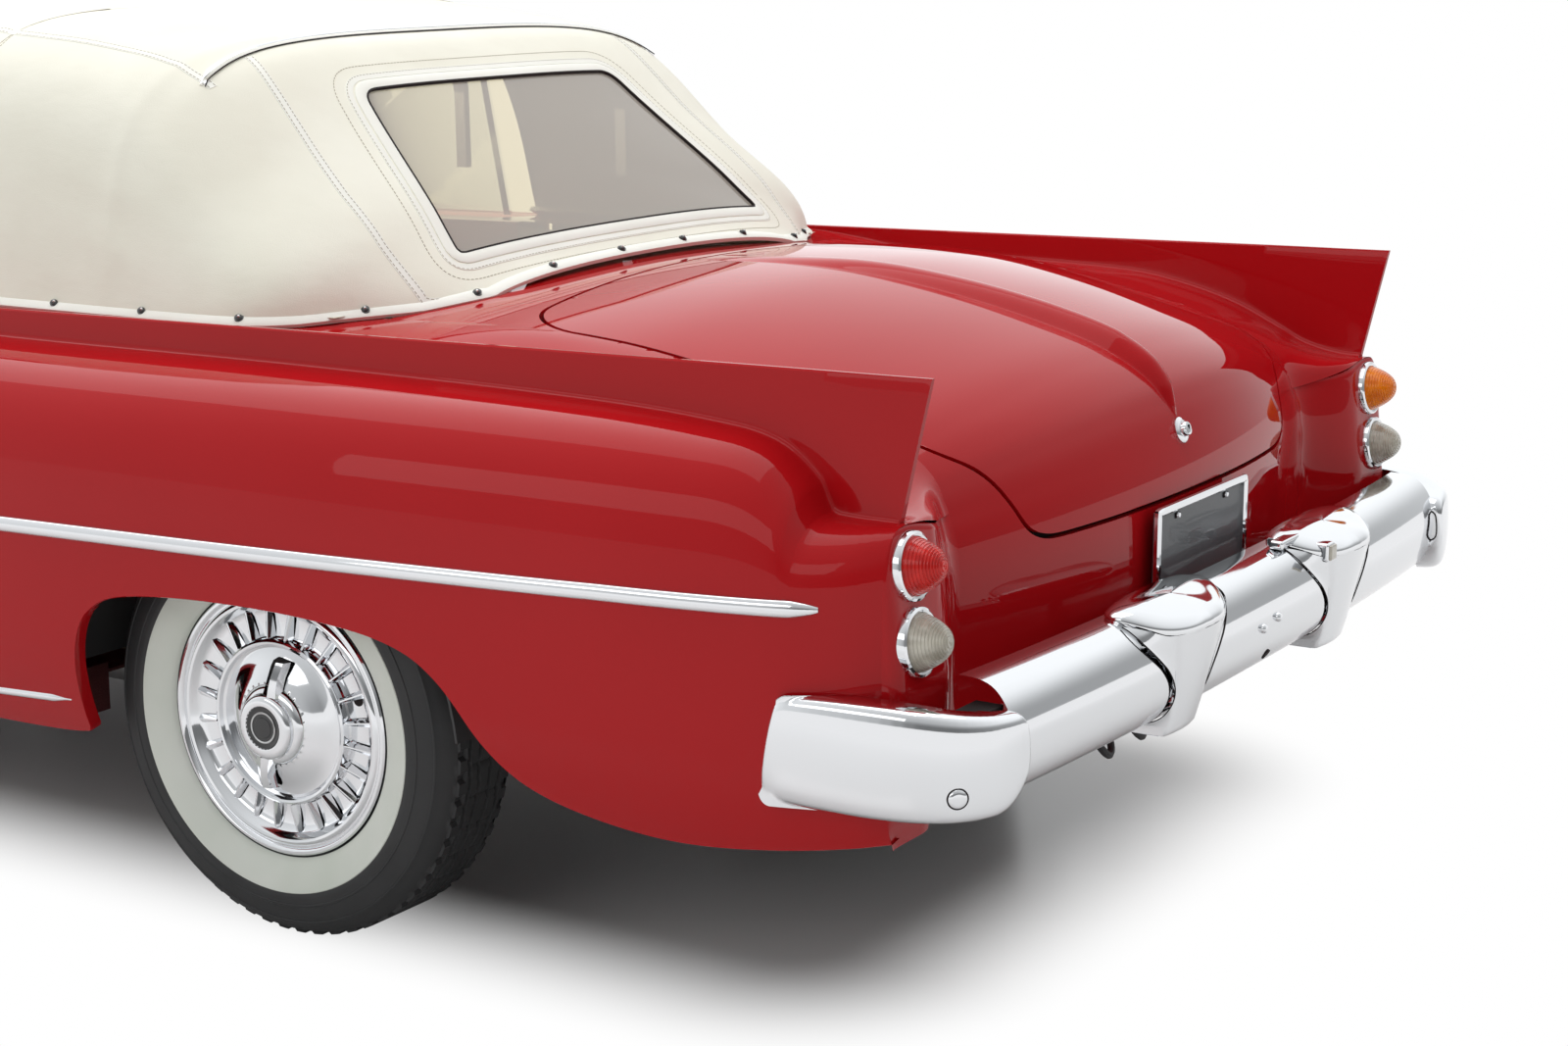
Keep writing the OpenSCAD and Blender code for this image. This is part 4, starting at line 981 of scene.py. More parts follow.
# creases in the cloth: long tension folds from the rear corners and small puckers
rng = np.random.default_rng(5)
cloth_x, cloth_y, cloth_z = CLOTH_AT[..., 0], CLOTH_AT[..., 1], CLOTH_AT[..., 2]
fold = np.zeros_like(cloth_x)
for _ in range(26):
    s = rng.choice([-1, 1])
    cx, cz = rng.uniform(120, 700), rng.uniform(930, 1200)
    ang = rng.uniform(0.2, 1.0)
    u = (cloth_x - cx) * math.cos(ang) + (cloth_z - cz) * math.sin(ang)
    w = -(cloth_x - cx) * math.sin(ang) + (cloth_z - cz) * math.cos(ang)
    on = (np.sign(cloth_y) == s) & (np.abs(cloth_y) > 560)
    deep, along, wide = rng.uniform(0.8, 2.4), rng.uniform(60, 130), rng.uniform(9, 20)
    fold += np.where(on, deep * np.exp(-(u / along) ** 2) * np.exp(-(w / wide) ** 2), 0)
sag = (np.sin(np.clip((cloth_x - 420) / 380, 0, 1) * math.pi)
       + np.sin(np.clip((cloth_x - 800) / 450, 0, 1) * math.pi))
fold -= 4.0 * sag * (np.abs(cloth_y) < 560)
fold += 2.5 * sum(np.exp(-((cloth_x - bow_x) / 14) ** 2) for bow_x in (420, 810, 1260))
across = np.arange(CLOTH_COLS)[None, :]
border = np.minimum(1, np.minimum(across, CLOTH_COLS - 1 - across) / 4.0)
CLOTH_AT = CLOTH_AT + CLOTH_UP * (np.minimum(fold, 3.5) * border)[..., None]


def on_top(x, y, lift=0.0):
    """Point of the cloth at a station and a distance from the middle, with its outward normal."""
    x, y = float(x), float(y)
    i = int(np.clip(np.searchsorted(CLOTH_X, x) - 1, 0, len(CLOTH_X) - 2))
    f = (x - CLOTH_X[i]) / (CLOTH_X[i + 1] - CLOTH_X[i])
    out = []
    for g in (CLOTH_AT, CLOTH_UP):
        a = np.array([np.interp(y, CLOTH_AT[i][:, 1], g[i][:, k]) for k in range(3)])
        b = np.array([np.interp(y, CLOTH_AT[i + 1][:, 1], g[i + 1][:, k]) for k in range(3)])
        out.append(a * (1 - f) + b * f)
    n = out[1] / np.linalg.norm(out[1])
    return out[0] + n * lift, n


def top_path(points, step=8.0, lift=0.0):
    """A path laid on the cloth, with its normals."""
    xy = even(points, step=step)
    got = [on_top(x, y, lift) for x, y in xy]
    return np.array([g[0] for g in got]), np.array([g[1] for g in got])


CLOTH_THICK = 2.4
under_g = CLOTH_AT - CLOTH_UP * CLOTH_THICK
cloth = Bits()
cloth.grid(CLOTH_AT, False, 0)
cloth.grid(under_g, True, 1)
for row, low_row, t in ((CLOTH_AT[0], under_g[0], True), (CLOTH_AT[-1], under_g[-1], False)):
    cloth.grid(np.stack([row, low_row]), t, 0)
for col in (0, -1):
    cloth.grid(np.stack([CLOTH_AT[:, col], under_g[:, col]], axis=1), col == 0, 0)
cloth_obj = cloth.make("top_cloth", [CANVAS, LINING], weld=0.00002, sharp=60, slot_name="top_canvas")
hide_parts("soft_top")

# rear window: its own plane, y across and v up the slope
LOW, HIGH = np.array([10.0, 970.0]), np.array([274.0, 1217.0])
SLOPE = math.atan2(HIGH[1] - LOW[1], HIGH[0] - LOW[0])
RISE = float(np.linalg.norm(HIGH - LOW))
UP = np.array([math.cos(SLOPE), 0, math.sin(SLOPE)])
OUT = np.array([-math.sin(SLOPE), 0, math.cos(SLOPE)])


def window_loop(grow=0.0, n_corner=10):
    """Outline of the rear window, grown by so many millimetres."""
    bottom, top, r_low, r_high = 433 + grow * 1.25, 344 + grow * 0.9, 14 + grow, 44 + grow
    corners = [(-bottom, -grow, r_low), (bottom, -grow, r_low), (top, RISE + grow, r_high),
               (-top, RISE + grow, r_high)]
    pts = []
    for k in range(4):
        p = np.array(corners[k][:2])
        a, b = np.array(corners[k - 1][:2]), np.array(corners[(k + 1) % 4][:2])
        da, db = (a - p) / np.linalg.norm(a - p), (b - p) / np.linalg.norm(b - p)
        ang = math.acos(np.clip(np.dot(da, db), -1, 1))
        d = corners[k][2] / math.tan(ang / 2)
        s, e = p + da * d, p + db * d
        for q in np.linspace(0, 1, n_corner):
            pts.append((1 - q) ** 2 * s + 2 * q * (1 - q) * p + q * q * e)
    return even(np.concatenate([pts, pts[:1]]), step=9.0)[:-1]


def window_xyz(loop, lift=0.0):
    """Points of the window plane in the frame of the car."""
    return np.array([np.array([LOW[0], 0, LOW[1]]) + UP * v + np.array([0, y, 0]) + OUT * lift
                     for y, v in loop])


# hole for the window
ring = window_xyz(window_loop(0))
cutter = Bits()
cutter.grid(np.stack([ring - OUT * 90, ring + OUT * 90], axis=0), False, 0, close_cols=True)
cutter.fan(ring - OUT * 90, (ring - OUT * 90).mean(axis=0))
cutter.fan(ring + OUT * 90, (ring + OUT * 90).mean(axis=0), True)
cut_obj = cutter.make("window_cutter", PAINTED_GAP_SHADE, weld=0.00002)
mod = cloth_obj.modifiers.new("hole", "BOOLEAN")
mod.operation, mod.object, mod.solver = "DIFFERENCE", cut_obj, "EXACT"
bpy.context.view_layer.update()
deps = bpy.context.evaluated_depsgraph_get()
cut_mesh = bpy.data.meshes.new_from_object(cloth_obj.evaluated_get(deps))
cloth_obj.modifiers.clear()
cloth_obj.data = cut_mesh
bpy.data.objects.remove(cut_obj)


def window_on_cloth(loop, lift):
    """The loop laid on the cloth: straight out from the window plane onto the surface."""
    pts, ns = [], []
    for y, v in loop:
        x = LOW[0] + UP[0] * v
        for _ in range(6):
            p, n = on_top(x, y)
            rel = p - np.array([LOW[0], 0, LOW[1]])
            x = x + (v - float(np.dot(rel, UP))) * UP[0] * 0.9
            x = min(max(x, CLOTH_X[0] + 1), 700)
        p, n = on_top(x, y, lift)
        pts.append(p)
        ns.append(n)
    return np.array(pts), np.array(ns)


def stitches(bits, path, ups, length=5.0, every=8.0, pick=0, lift=0.4):
    """A row of separate stitches along a path."""
    p = np.asarray(path)
    d = np.concatenate([[0], np.cumsum(np.linalg.norm(np.diff(p, axis=0), axis=1))])
    for s in np.arange(2, d[-1] - length, every):
        a = np.array([np.interp(s, d, p[:, k]) for k in range(3)])
        b = np.array([np.interp(s + length, d, p[:, k]) for k in range(3)])
        n = np.array([np.interp(s, d, np.asarray(ups)[:, k]) for k in range(3)])
        t = (b - a) / np.linalg.norm(b - a)
        w = np.cross(n, t) * 0.65
        c = [a - w, a + w, b + w, b - w]
        top = [q + n * (lift + 0.55) for q in c]
        bits.add(np.array([q - n * 0.5 for q in c] + top),
                 [[4, 5, 6, 7], [0, 4, 7, 3], [1, 2, 6, 5], [0, 1, 5, 4], [3, 7, 6, 2]], pick)


trim = Bits()   # 0 binding, 1 stitching, 2 painted shadow line
frame_band = [[-11, -1.2], [-11, 1.6], [-8, 2.8], [8, 2.8], [11, 1.6], [11, -1.2]]
loop_at, loop_up = window_on_cloth(window_loop(8), 0)
strip(trim, loop_at, loop_up, frame_band, closed=True)
# painted shadow line just inside the window binding
loop_at, loop_up = window_on_cloth(window_loop(-2), 0)
strip(trim, loop_at, loop_up, [[-1.6, -3], [-1.6, 3.2], [1.6, 3.2], [1.6, -3]], closed=True, pick=2)
loop_at, loop_up = window_on_cloth(window_loop(27), 0)
strip(trim, loop_at, loop_up, [[-7, -1], [-6, 1.0], [6, 1.0], [7, -1]], closed=True)
for grow in (14, 31):
    loop_at, loop_up = window_on_cloth(window_loop(grow), 0)
    stitches(trim, np.concatenate([loop_at, loop_at[:1]]), np.concatenate([loop_up, loop_up[:1]]), pick=1,
             lift=2.2 if grow < 20 else 0.6)
loop_at, loop_up = window_on_cloth(window_loop(52), 0)
stitches(trim, np.concatenate([loop_at, loop_at[:1]]), np.concatenate([loop_up, loop_up[:1]]), pick=1, lift=0)
seam_band = [[-9, -1], [-8, 0.9], [8, 0.9], [9, -1]]
for s in (-1, 1):
    # seam of the quarter, from the rear bow down to the deck
    for path, both in (([[374, 494 * s], [316, 506 * s], [236, 520 * s], [140, 542 * s], [60, 551 * s],
                         [-30, 541 * s]], True),
                       ([[352, 600 * s], [700, 606 * s], [1100, 600 * s], [1690, 575 * s]], True),
                       ([[770, 700 * s], [772, 640 * s], [776, 610 * s]], False)):
        p, n = top_path(path)
        if both:
            strip(trim, p, n, seam_band)
        for off in ((-5.5, 5.5) if both else (0,)):
            t = np.gradient(p, axis=0)
            t /= np.linalg.norm(t, axis=1, keepdims=True)
            stitches(trim, p + np.cross(n, t) * off, n, pick=1, lift=0.7 if both else 0)
# welt along the lower edge, and the hem over the side windows
base_path = np.concatenate([CLOTH_AT[:, 0][CLOTH_X <= 779][::-1], CLOTH_AT[0][1:-1],
                            CLOTH_AT[:, -1][CLOTH_X <= 779]])
base_path = even(base_path, step=9.0)
base_up = np.array([[-0.35, 0.55 * np.sign(p[1]) * min(1, abs(p[1]) / 500), 0.75] for p in base_path])
strip(trim, base_path + [0, 0, -1], base_up, [[-22, -12], [-20, -3], [-14, 2], [-4, 4.6], [7, 4.6], [11, 3],
                                              [11, -4]])
for s, col in ((-1, 0), (1, -1)):
    hem = even(CLOTH_AT[:, col][CLOTH_X > 779], step=10.0)
    strip(trim, hem, [0, s, 0.25], [[-10, -2], [-10, 2], [10, 2], [10, -2]])
head = even(CLOTH_AT[-1], step=10.0)
strip(trim, head + [2, 0, 1], [0.6, 0, 0.8], [[-8, -4], [-8, 2], [0, 4], [8, 2], [8, -4]])
trim_obj = trim.make("top_trim", [BINDING, STITCH, PAINTED_GAP_SHADE], slot_name="top_canvas")

# plain bright strip over the rear bow with its piping
bow = Bits()
ends = [[366, -612], [373, -598], [387, -490], [395, -340], [402, -170], [403, 0], [402, 170], [395, 340],
        [387, 490], [373, 598], [366, 612]]
bow_points = np.array([[curve(y, [[a[1], a[0]] for a in ends]), y] for y in np.linspace(-612, 612, 110)])
got = [on_top(x, y) for x, y in bow_points]
P, N = np.array([g[0] for g in got]), np.array([g[1] for g in got])
fade = np.clip(np.minimum(np.arange(110), 109 - np.arange(110)) / 3.0, 0.35, 1)
strip(bow, P, N, [[-8, -1], [-8, 2.5], [-5, 4.6], [0, 5.4], [5, 4.6], [8, 2.5], [8, -1]], fade)
strip(bow, P + N * 4.4, N, [[-3, -0.5], [-2.6, 1.2], [0, 1.9], [2.6, 1.2], [3, -0.5]], fade, pick=2)
# painted shadow line along the front edge of the strip
strip(bow, P + np.array([-9.4, 0, -0.6]), N, tube_profile(1.1), pick=1)
for k in (0, -1):
    turned(bow, [[0, 7.2], [3, 7.0], [4, 5.5], [4, 2]], P[k] * [1, 0.985, 1], N[k], 16, pick=2)
bow.make("rear_bow_strip", [BINDING, PAINTED_GAP_SHADE, CHROME], slot_name="top_canvas")

# press studs along the welt
studs = Bits()
side_spots = []
lengths = np.concatenate([[0], np.cumsum(np.linalg.norm(np.diff(base_path, axis=0), axis=1))])
mid = lengths[np.argmin(np.abs(base_path[:, 1]))]
for off in (90, 280, 470, 660, 850, 1040, 1230, 1400):
    for s in (-1, 1):
        k = int(np.argmin(np.abs(lengths - (mid + s * off))))
        if 0 < k < len(base_path) - 1:
            side_spots.append(k)
for k in sorted(set(side_spots)):
    n = base_up[k] / np.linalg.norm(base_up[k])
    turned(studs, [[0, 3.2], [3.2, 2.9], [5.0, 1.6], [5.4, 0], [7.2, 0], [7.2, -3]],
           base_path[k] + [0, 0, 2] + n * 4.2, n, 20)
    turned(studs, [[0, 5.2], [1.6, 4.8], [2.2, 3]], base_path[k] + [0, 0, 2] + n * 4.2, n, 12, pick=1)
studs.make("press_studs", [BLACK, SATIN], slot_name="chrome")

# clear plastic pane
pane = Bits()
loop_at, loop_up = window_on_cloth(window_loop(4), -1.6)
inner_rings = [loop_at]
for f in (0.75, 0.5, 0.25):
    q, _ = window_on_cloth((window_loop(4) - [0, RISE / 2]) * f + [0, RISE / 2], -1.6)
    inner_rings.append(q)
g = np.stack(inner_rings)
pane.grid(g, False, 0, close_cols=True)
pane.fan(g[-1], g[-1].mean(axis=0))
pane_obj = pane.make("rear_pane", PLASTIC, weld=0.00002, slot_name="window_plastic")
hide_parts("rear_window")


# ---------------------------------------------------------------- bright trim
def side_path(knots, step=12.0, out=0.0):
    """Line along the left body side through (x, z) knots."""
    xz = even(knots, step=step)
    return np.stack([xz[:, 0], side_y(xz[:, 0]) - tuck(xz[:, 1]) + out, xz[:, 1]], axis=1)


UPPER = [[-951, 634], [-641, 629], [-309, 619], [56, 608], [461, 597], [764, 590]]
trims = Bits()
for s in (1, -1):
    p = side_path(UPPER, 8.0, -1.0)
    k = np.arange(len(p))
    taper = np.clip((k + 0.6) / 5.0, 0.1, 1) ** 0.55
    strip(trims, p if s > 0 else mirror(p), [0, s, 0], disc_profile(25, 9, 11), taper)
for s in (1, -1):
    p = side_path([[345, 332], [512, 322], [764, 312]], 8.0, -1.0)
    taper = np.clip(np.arange(len(p)) / 5.0, 0.3, 1)
    strip(trims, p if s > 0 else mirror(p), [0, s, 0], disc_profile(13, 5, 9), taper)
trims.make("side_strips", CHROME, slot_name="chrome")
for s, side in ((1, "left"), (-1, "right")):
    door_strip = Bits()
    p = side_path([[DOOR_REAR, 590], [1200, 577], [1600, 566], [DOOR_FRONT, 558]], 14.0, -1.0)
    strip(door_strip, p if s > 0 else mirror(p), [0, s, 0], disc_profile(25, 9, 11))
    door_strip.make("door_strip_" + side, CHROME, body="door_" + side, slot_name="chrome")
front_strips = Bits()
for s in (1, -1):
    p = side_path([[DOOR_FRONT + GAP, 557], [2300, 548], [2440, 545]], 14.0, -1.0)
    taper = np.clip((len(p) - 1 - np.arange(len(p))) / 8.0, 0.12, 1) ** 0.7
    strip(front_strips, p if s > 0 else mirror(p), [0, s, 0], disc_profile(25, 9, 11), taper)
    p = side_path([[DOOR_REAR, 311], [1300, 300], [DOOR_FRONT, 296], [2400, 300]], 16.0, -1.0)
    strip(front_strips, p if s > 0 else mirror(p), [0, s, 0], disc_profile(13, 5, 9))
front_strips.make("front_side_strips", CHROME, slot_name="chrome")

# lock of the boot lid
lock = Bits()
n_lock, _, _ = deck_normal(np.array([8.9]), np.array([0.0]))
n_lock = n_lock[0] * (-1 if n_lock[0][0] > 0 else 1)
lock_at = deck(8.85, 0.0)
turned(lock, [[20, 0], [20, 2.5], [17.5, 5], [13, 6], [11.5, 5], [11, 12], [10, 14], [6, 15], [0, 15]],
       lock_at, n_lock, 40)
# key slot in near-black painted shade
block(lock, lock_at + n_lock * 14.6 + [-1.0, -1.0, -5], lock_at + n_lock * 14.6 + [1.0, 1.0, 5], 1)
lock.make("boot_lock", [CHROME, PAINTED_GAP_SHADE], body="boot_lid", slot_name="chrome")


# ---------------------------------------------------------------- rear lamps
def lamp(bits, at, axis, lens_pick):
    """Round lamp with a bright rim and a ribbed, pointed lens."""
    profile = [[47, -4], [47, 3], [45.5, 7.5], [42, 9.5], [39, 8.5], [38, 6]]
    turned(bits, profile, at, axis, 56, pick=0)
    lens = []
    steps = 13
    for k in range(steps):
        a = k / steps
        b = (k + 0.55) / steps
        for q, lift in ((a, 0.0), (a + 0.02, 1.1), (b, 1.1), (b + 0.02, 0.0)):
            r = 38.5 * (1 - q) ** 0.62
            z = 6.0 + 43 * (1 - (1 - q) ** 1.55)
            lens.append([r + lift * 0.55, z + lift])
    lens.append([0, 50.5])
    turned(bits, lens, at, axis, 56, pick=lens_pick)


LAMPS = [[pod_x(681.0), 814, 681, 1], [pod_x(583.0), 818, 583, 2]]
tilt = np.array([-150.0, 0, 18.0]) / math.hypot(150, 18)
for s, side, upper in ((1, "left", LAMP_RED), (-1, "right", LAMP_AMBER)):
    lamps = Bits()
    for x, y, z, pick in LAMPS:
        lamp(lamps, [float(x), s * y, z], tilt, pick)
    lo = lamps.make("rear_lamps_" + side, [CHROME, upper, LAMP_CLEAR], slot_name="lamp_lens", sharp=30)
    if side == "left":
        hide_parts("tail_lamps")

# ---------------------------------------------------------------- number plate
plate = Bits()
block(plate, [-1073, -160, 486], [-1067, 160, 636], 0)
rim_path = np.array([[-1074.0, y, z] for y, z in even([[-160, 486], [160, 486], [160, 636], [-160, 636],
                                                       [-160, 486]], step=8.0)[:-1]])
strip(plate, rim_path, [-1, 0, 0], [[-6, -3], [-6, 3], [-3, 5.5], [3, 5.5], [6, 3], [6, -3]], closed=True,
      pick=1)
for y in (-89, 89):
    for z in (500.5, 621.5):
        # slot at each bolt, in near-black painted shade
        block(plate, [-1074.6, y - 8, z - 4], [-1072.9, y + 8, z + 4], 2)
        turned(plate, [[0, 4], [3.5, 3.6], [5, 1], [5, 0]], [-1074, y, z], [-1, 0, 0], 16, pick=1)
block(plate, [-1068, -60, 520], [-1058, 60, 600], 3)
plate_obj = plate.make("number_plate_skin", [ENAMEL, CHROME, PAINTED_GAP_SHADE, METAL], slot_name="plate_enamel",
                       sharp=30)
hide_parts("number_plate")

# ---------------------------------------------------------------- rear bumper
BAR = even(rounded([[-1112, 540], [-1142, 539.5], [-1164, 531], [-1182, 510], [-1194, 480], [-1196, 448],
                    [-1190, 412], [-1172, 384], [-1144, 370], [-1112, 368]], 2), 40)


def bar_x(z):
    """Rear face of the bar at a height."""
    return np.interp(z, BAR[::-1, 1], BAR[::-1, 0])


ys = np.linspace(-790, 790, 120)
BAR_GRID = np.array([[[p[0] + 24 * abs(y / 772) ** 2.5, y, p[1]] for p in BAR] for y in ys])
bar = Bits()
bar.grid(BAR_GRID)
for y, z in ((-18, 458), (38, 452)):
    turned(bar, [[0, 7], [5, 6], [7.5, 2], [7.5, -2]], [bar_x(z) - 0.5, y, z], [-1, 0, 0.05], 20)
# small hole in the lower face of the bar, in near-black painted shade
turned(bar, [[0, 1.2], [9, 1.2], [9, -1]], [bar_x(400), -8, 400], [-1, 0, -0.7], 18, pick=1)
bar_obj = bar.make("bumper_bar", [CHROME, PAINTED_GAP_SHADE], weld=0.00002, slot_name="chrome")
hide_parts("rear_bumper_bar")

END_PATH = rounded([[-884, 936, 520], [-905, 940, 522], [-955, 944, 525], [-1030, 940, 526],
                    [-1092, 925, 523], [-1141, 897, 516], [-1170, 857, 510], [-1182, 815, 506],
                    [-1186, 777, 503]], 2)
END_AT = even(END_PATH, 130)
END_ALONG = np.concatenate([[0], np.cumsum(np.linalg.norm(np.diff(END_AT[:, :2], axis=0), axis=1))])
EDGE_N = np.gradient(END_AT[:, :2], axis=0)
EDGE_N /= np.linalg.norm(EDGE_N, axis=1, keepdims=True)
END_OUT = np.stack([EDGE_N[:, 1], -EDGE_N[:, 0]], axis=1)
if END_OUT[60][1] < 0:
    END_OUT = -END_OUT
# depth behind the face, and height from the middle as a share of the half height
PROFILE = even(rounded([[46, 74], [22, 76], [9, 74], [1.5, 66], [-1, 46], [-2.5, 20], [-2.5, -12],
                        [-1, -40], [3, -60], [9, -70], [22, -76], [46, -77]], 2), 46)


def corner(r, back):
    """How far an edge is drawn in at a distance from the end of a rounded corner."""
    return r - math.sqrt(max(r * r - max(r - back, 0) ** 2, 0)) if back < r else 0


caps = Bits()
rows = []
for i in range(len(END_AT)):
    d, back = END_ALONG[i], END_ALONG[-1] - END_ALONG[i]
    body = float(side_y(max(END_AT[i, 0], -1040)))
    room = END_AT[i, 1] - body - 5 if END_AT[i, 0] > -1035 else 60
    high = END_AT[i, 2] - 444 - corner(26, d) - corner(20, back)
    low = 74 - corner(24, d) - corner(58, back)
    tuck_in = 9 * (1 - math.sqrt(max(1 - max(1 - d / 9.0, 0) ** 2, 0))) if d < 9 else 0
    tuck_in += 6 * (1 - math.sqrt(max(1 - max(1 - back / 6.0, 0) ** 2, 0))) if back < 6 else 0
    row = []
    for q in PROFILE:
        z = 444 + q[1] / 76.0 * (high if q[1] > 0 else low)
        depth = min(q[0] + tuck_in, max(room, 3.0))
        shear = 16 * (470 - z) / 90.0 * smooth((END_AT[i, 0] + 1010) / 110.0)
        row.append([END_AT[i, 0] - END_OUT[i, 0] * depth + shear, END_AT[i, 1] - END_OUT[i, 1] * depth, z])
    rows.append(row)
CAP = np.array(rows)
caps.both(CAP)
caps.both(np.stack([CAP[0], CAP[0] + [4, -8, 0]], axis=0), True)
caps.both(np.stack([CAP[-1], CAP[-1] + [34, 1, 0]], axis=0))
# painted shadow line where the end of each cap stands proud of the bar
for s in (1, -1):
    strip(caps, even((CAP[-1] + [3.5, -1.2, 0]) * [1, s, 1], step=5.0), [0, -s, 0], tube_profile(1.3, 6),
          pick=1)
k = int(np.argmin(np.abs(END_AT[:, 1] - 891) + 1000 * (END_AT[:, 0] > -1080)))
for s in (1, -1):
    bolt_at = [END_AT[k, 0] + END_OUT[k, 0] * 0.5, s * (END_AT[k, 1] + END_OUT[k, 1] * 0.5), 410]
    bolt_axis = [END_OUT[k, 0], s * END_OUT[k, 1], -0.04]
    turned(caps, [[0, 4.6], [7, 4.2], [11.5, 3.0], [13, 1.0], [13, -3]], bolt_at, bolt_axis, 32)
    # painted shadow ring round the bolt head
    turned(caps, [[14.6, 0.9], [13, 1.2], [13, -1]], bolt_at, bolt_axis, 32, pick=1)
caps_obj = caps.make("bumper_ends", [CHROME, PAINTED_GAP_SHADE], weld=0.00002, sharp=60, slot_name="chrome")
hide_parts("rear_bumper_ends")
# near-black painted shadow in the gap between the body and the top of each bumper end
slots = Bits()
for s in (1, -1):
    lo_, hi_ = sorted((s * 778, s * 872))
    block(slots, [-1146, lo_, 500], [-1106, hi_, 506])
slots.make("bumper_gap_shadow", PAINTED_GAP_SHADE, slot_name="chrome")


FLARE = [[355, 49], [395, 52], [420, 57], [440, 67], [466, 90], [480, 106], [496, 124], [511, 139],
         [520, 146], [529, 151], [541, 153]]
# half of the outline of a guard's cap seen from above: x, distance from its middle line
DEE = even(rounded([[-1222, 0], [-1219.5, 45], [-1205, 86], [-1184, 118], [-1158, 139], [-1134, 146],
                    [-1116, 138], [-1108, 108], [-1105, 60], [-1105, 0]], 2), 60)


def face_x(z, d):
    """Rear face of a guard: it leans back to the top and is crowned across."""
    t = max(z - 355, 0) / 160.0
    return -1181 - 41 * t ** 0.9 + 17 * (d / 86.0) ** 2


def guard_row(z, n=30):
    """One side of a guard at a height, from its middle line to the joint on the bar."""
    t = min(max(z - 355, 0) / 160.0, 1.0)
    w = 47 + 39 * t ** 2
    end = max(float(curve(z, FLARE)), w + 3)
    xe = float(bar_x(min(z, 538))) - 1.0
    row = [[face_x(z, w * q), w * q] for q in np.linspace(0, 0.96, 9)]
    p1 = np.array([face_x(z, w) + 3, w + 1.2])
    p3 = np.array([xe, end])
    hollow = np.array([xe - 0.10 * (xe - p1[0]), w + 2 + 0.25 * (end - w)])
    full = np.array([p1[0] + 0.45 * (xe - p1[0]), w + 2 + 0.62 * (end - w)])
    p2 = hollow + (full - hollow) * smooth((z - 455) / 60.0)
    for q in np.linspace(0, 1, n - 9):
        row.append(list((1 - q) ** 2 * p1 + 2 * q * (1 - q) * p2 + q * q * p3))
    return np.array(row)


guards = Bits()
COLS = 30
RIM_Z = np.array([516.0] * 9 + [516 + 20 * smooth(k / 20.0) for k in range(21)])
levels = np.concatenate([[0, 0.012, 0.035], np.linspace(0.07, 1.0, 46)])
rows = []
for lv in levels:
    row = []
    for k in range(COLS):
        z = 355 + (RIM_Z[k] - 355) * lv
        x, d = guard_row(z)[k]
        pull = 4 * (1 - lv / 0.035) ** 2 if lv < 0.035 else 0
        row.append([x + pull, d, z])
    rows.append(row)
SIDE = np.array(rows)
rings = []
dee_z = 514 + 25 * smooth((DEE[:, 0] + 1222) / 85.0) - 4 * (DEE[:, 1] / 146.0) ** 2
centre = np.array([-1156.0, 0.0])
for scale, up in ((0.5, 1), (0.985, 0), (1.0, 1.2), (1.004, 5), (1.0, 9.5), (0.985, 12), (0.955, 14.5),
                  (0.90, 17.5), (0.80, 21),
                  (0.65, 24), (0.45, 26), (0.22, 27), (0.02, 27.3)):
    p = centre + (DEE - centre) * scale
    flat = dee_z * scale + (1 - scale) * 527.0
    rings.append(np.stack([p[:, 0], p[:, 1], flat + up], axis=1))
TOPCAP = np.array(rings)
for s in (1, -1):
    yc = 289.0
    for half in (1, -1):
        for g, turn in ((SIDE, True), (TOPCAP, True)):
            h = np.array(g)
            h[..., 1] = s * yc + half * g[..., 1]
            guards.grid(h, turn if half > 0 else not turn)
        low = np.array(SIDE[0])
        low[:, 1] = s * yc + half * low[:, 1]
        inner = np.array(low)
        inner[:, 0] = -1165
        guards.grid(np.stack([low, inner]), half < 0)
        # painted shadow line along the joint of the guard and the bar
        line = np.array(SIDE[:, -1])
        line[:, 1] = s * yc + half * line[:, 1]
        strip(guards, even(line, step=5.0) + [-0.4, 0, 0], [-1, 0, 0], tube_profile(0.9, 6), pick=1)
guards_obj = guards.make("bumper_guards", [CHROME, PAINTED_GAP_SHADE], weld=0.00002, sharp=42, slot_name="chrome")
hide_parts("rear_bumper_guards")

# plate lamp on the inner side of the right guard
plate_light = Bits()
pillow(plate_light, [-1192, -203, 524], [15, 15, 15], 5, 0)
pillow(plate_light, [-1208, -203, 524], [3, 12, 12], 3, 1)
pillow(plate_light, [-1150, -150, 545], [12, 40, 7], 5, 0)
plate_light.make("plate_lamp", [CHROME, LAMP_CLEAR], weld=0.00002, slot_name="chrome")
# small black tie-down loops under the tail, and the bumper brackets
brackets = Bits()
for y in (60, 175):
    loop = rounded([[-1000, y - 14, 300], [-1012, y - 10, 268], [-1020, y + 16, 262], [-1014, y + 34, 280],
                    [-1000, y + 36, 300]], 2)
    strip(brackets, even(loop, step=4.0), [-1, 0, 0], tube_profile(6, 8))
for s in (1, -1):
    for y in (180, 520):
        block(brackets, [-1180, s * y - 15, 440], [-1040, s * y + 15, 452])
brackets.make("bumper_brackets", METAL, slot_name="dark_metal")


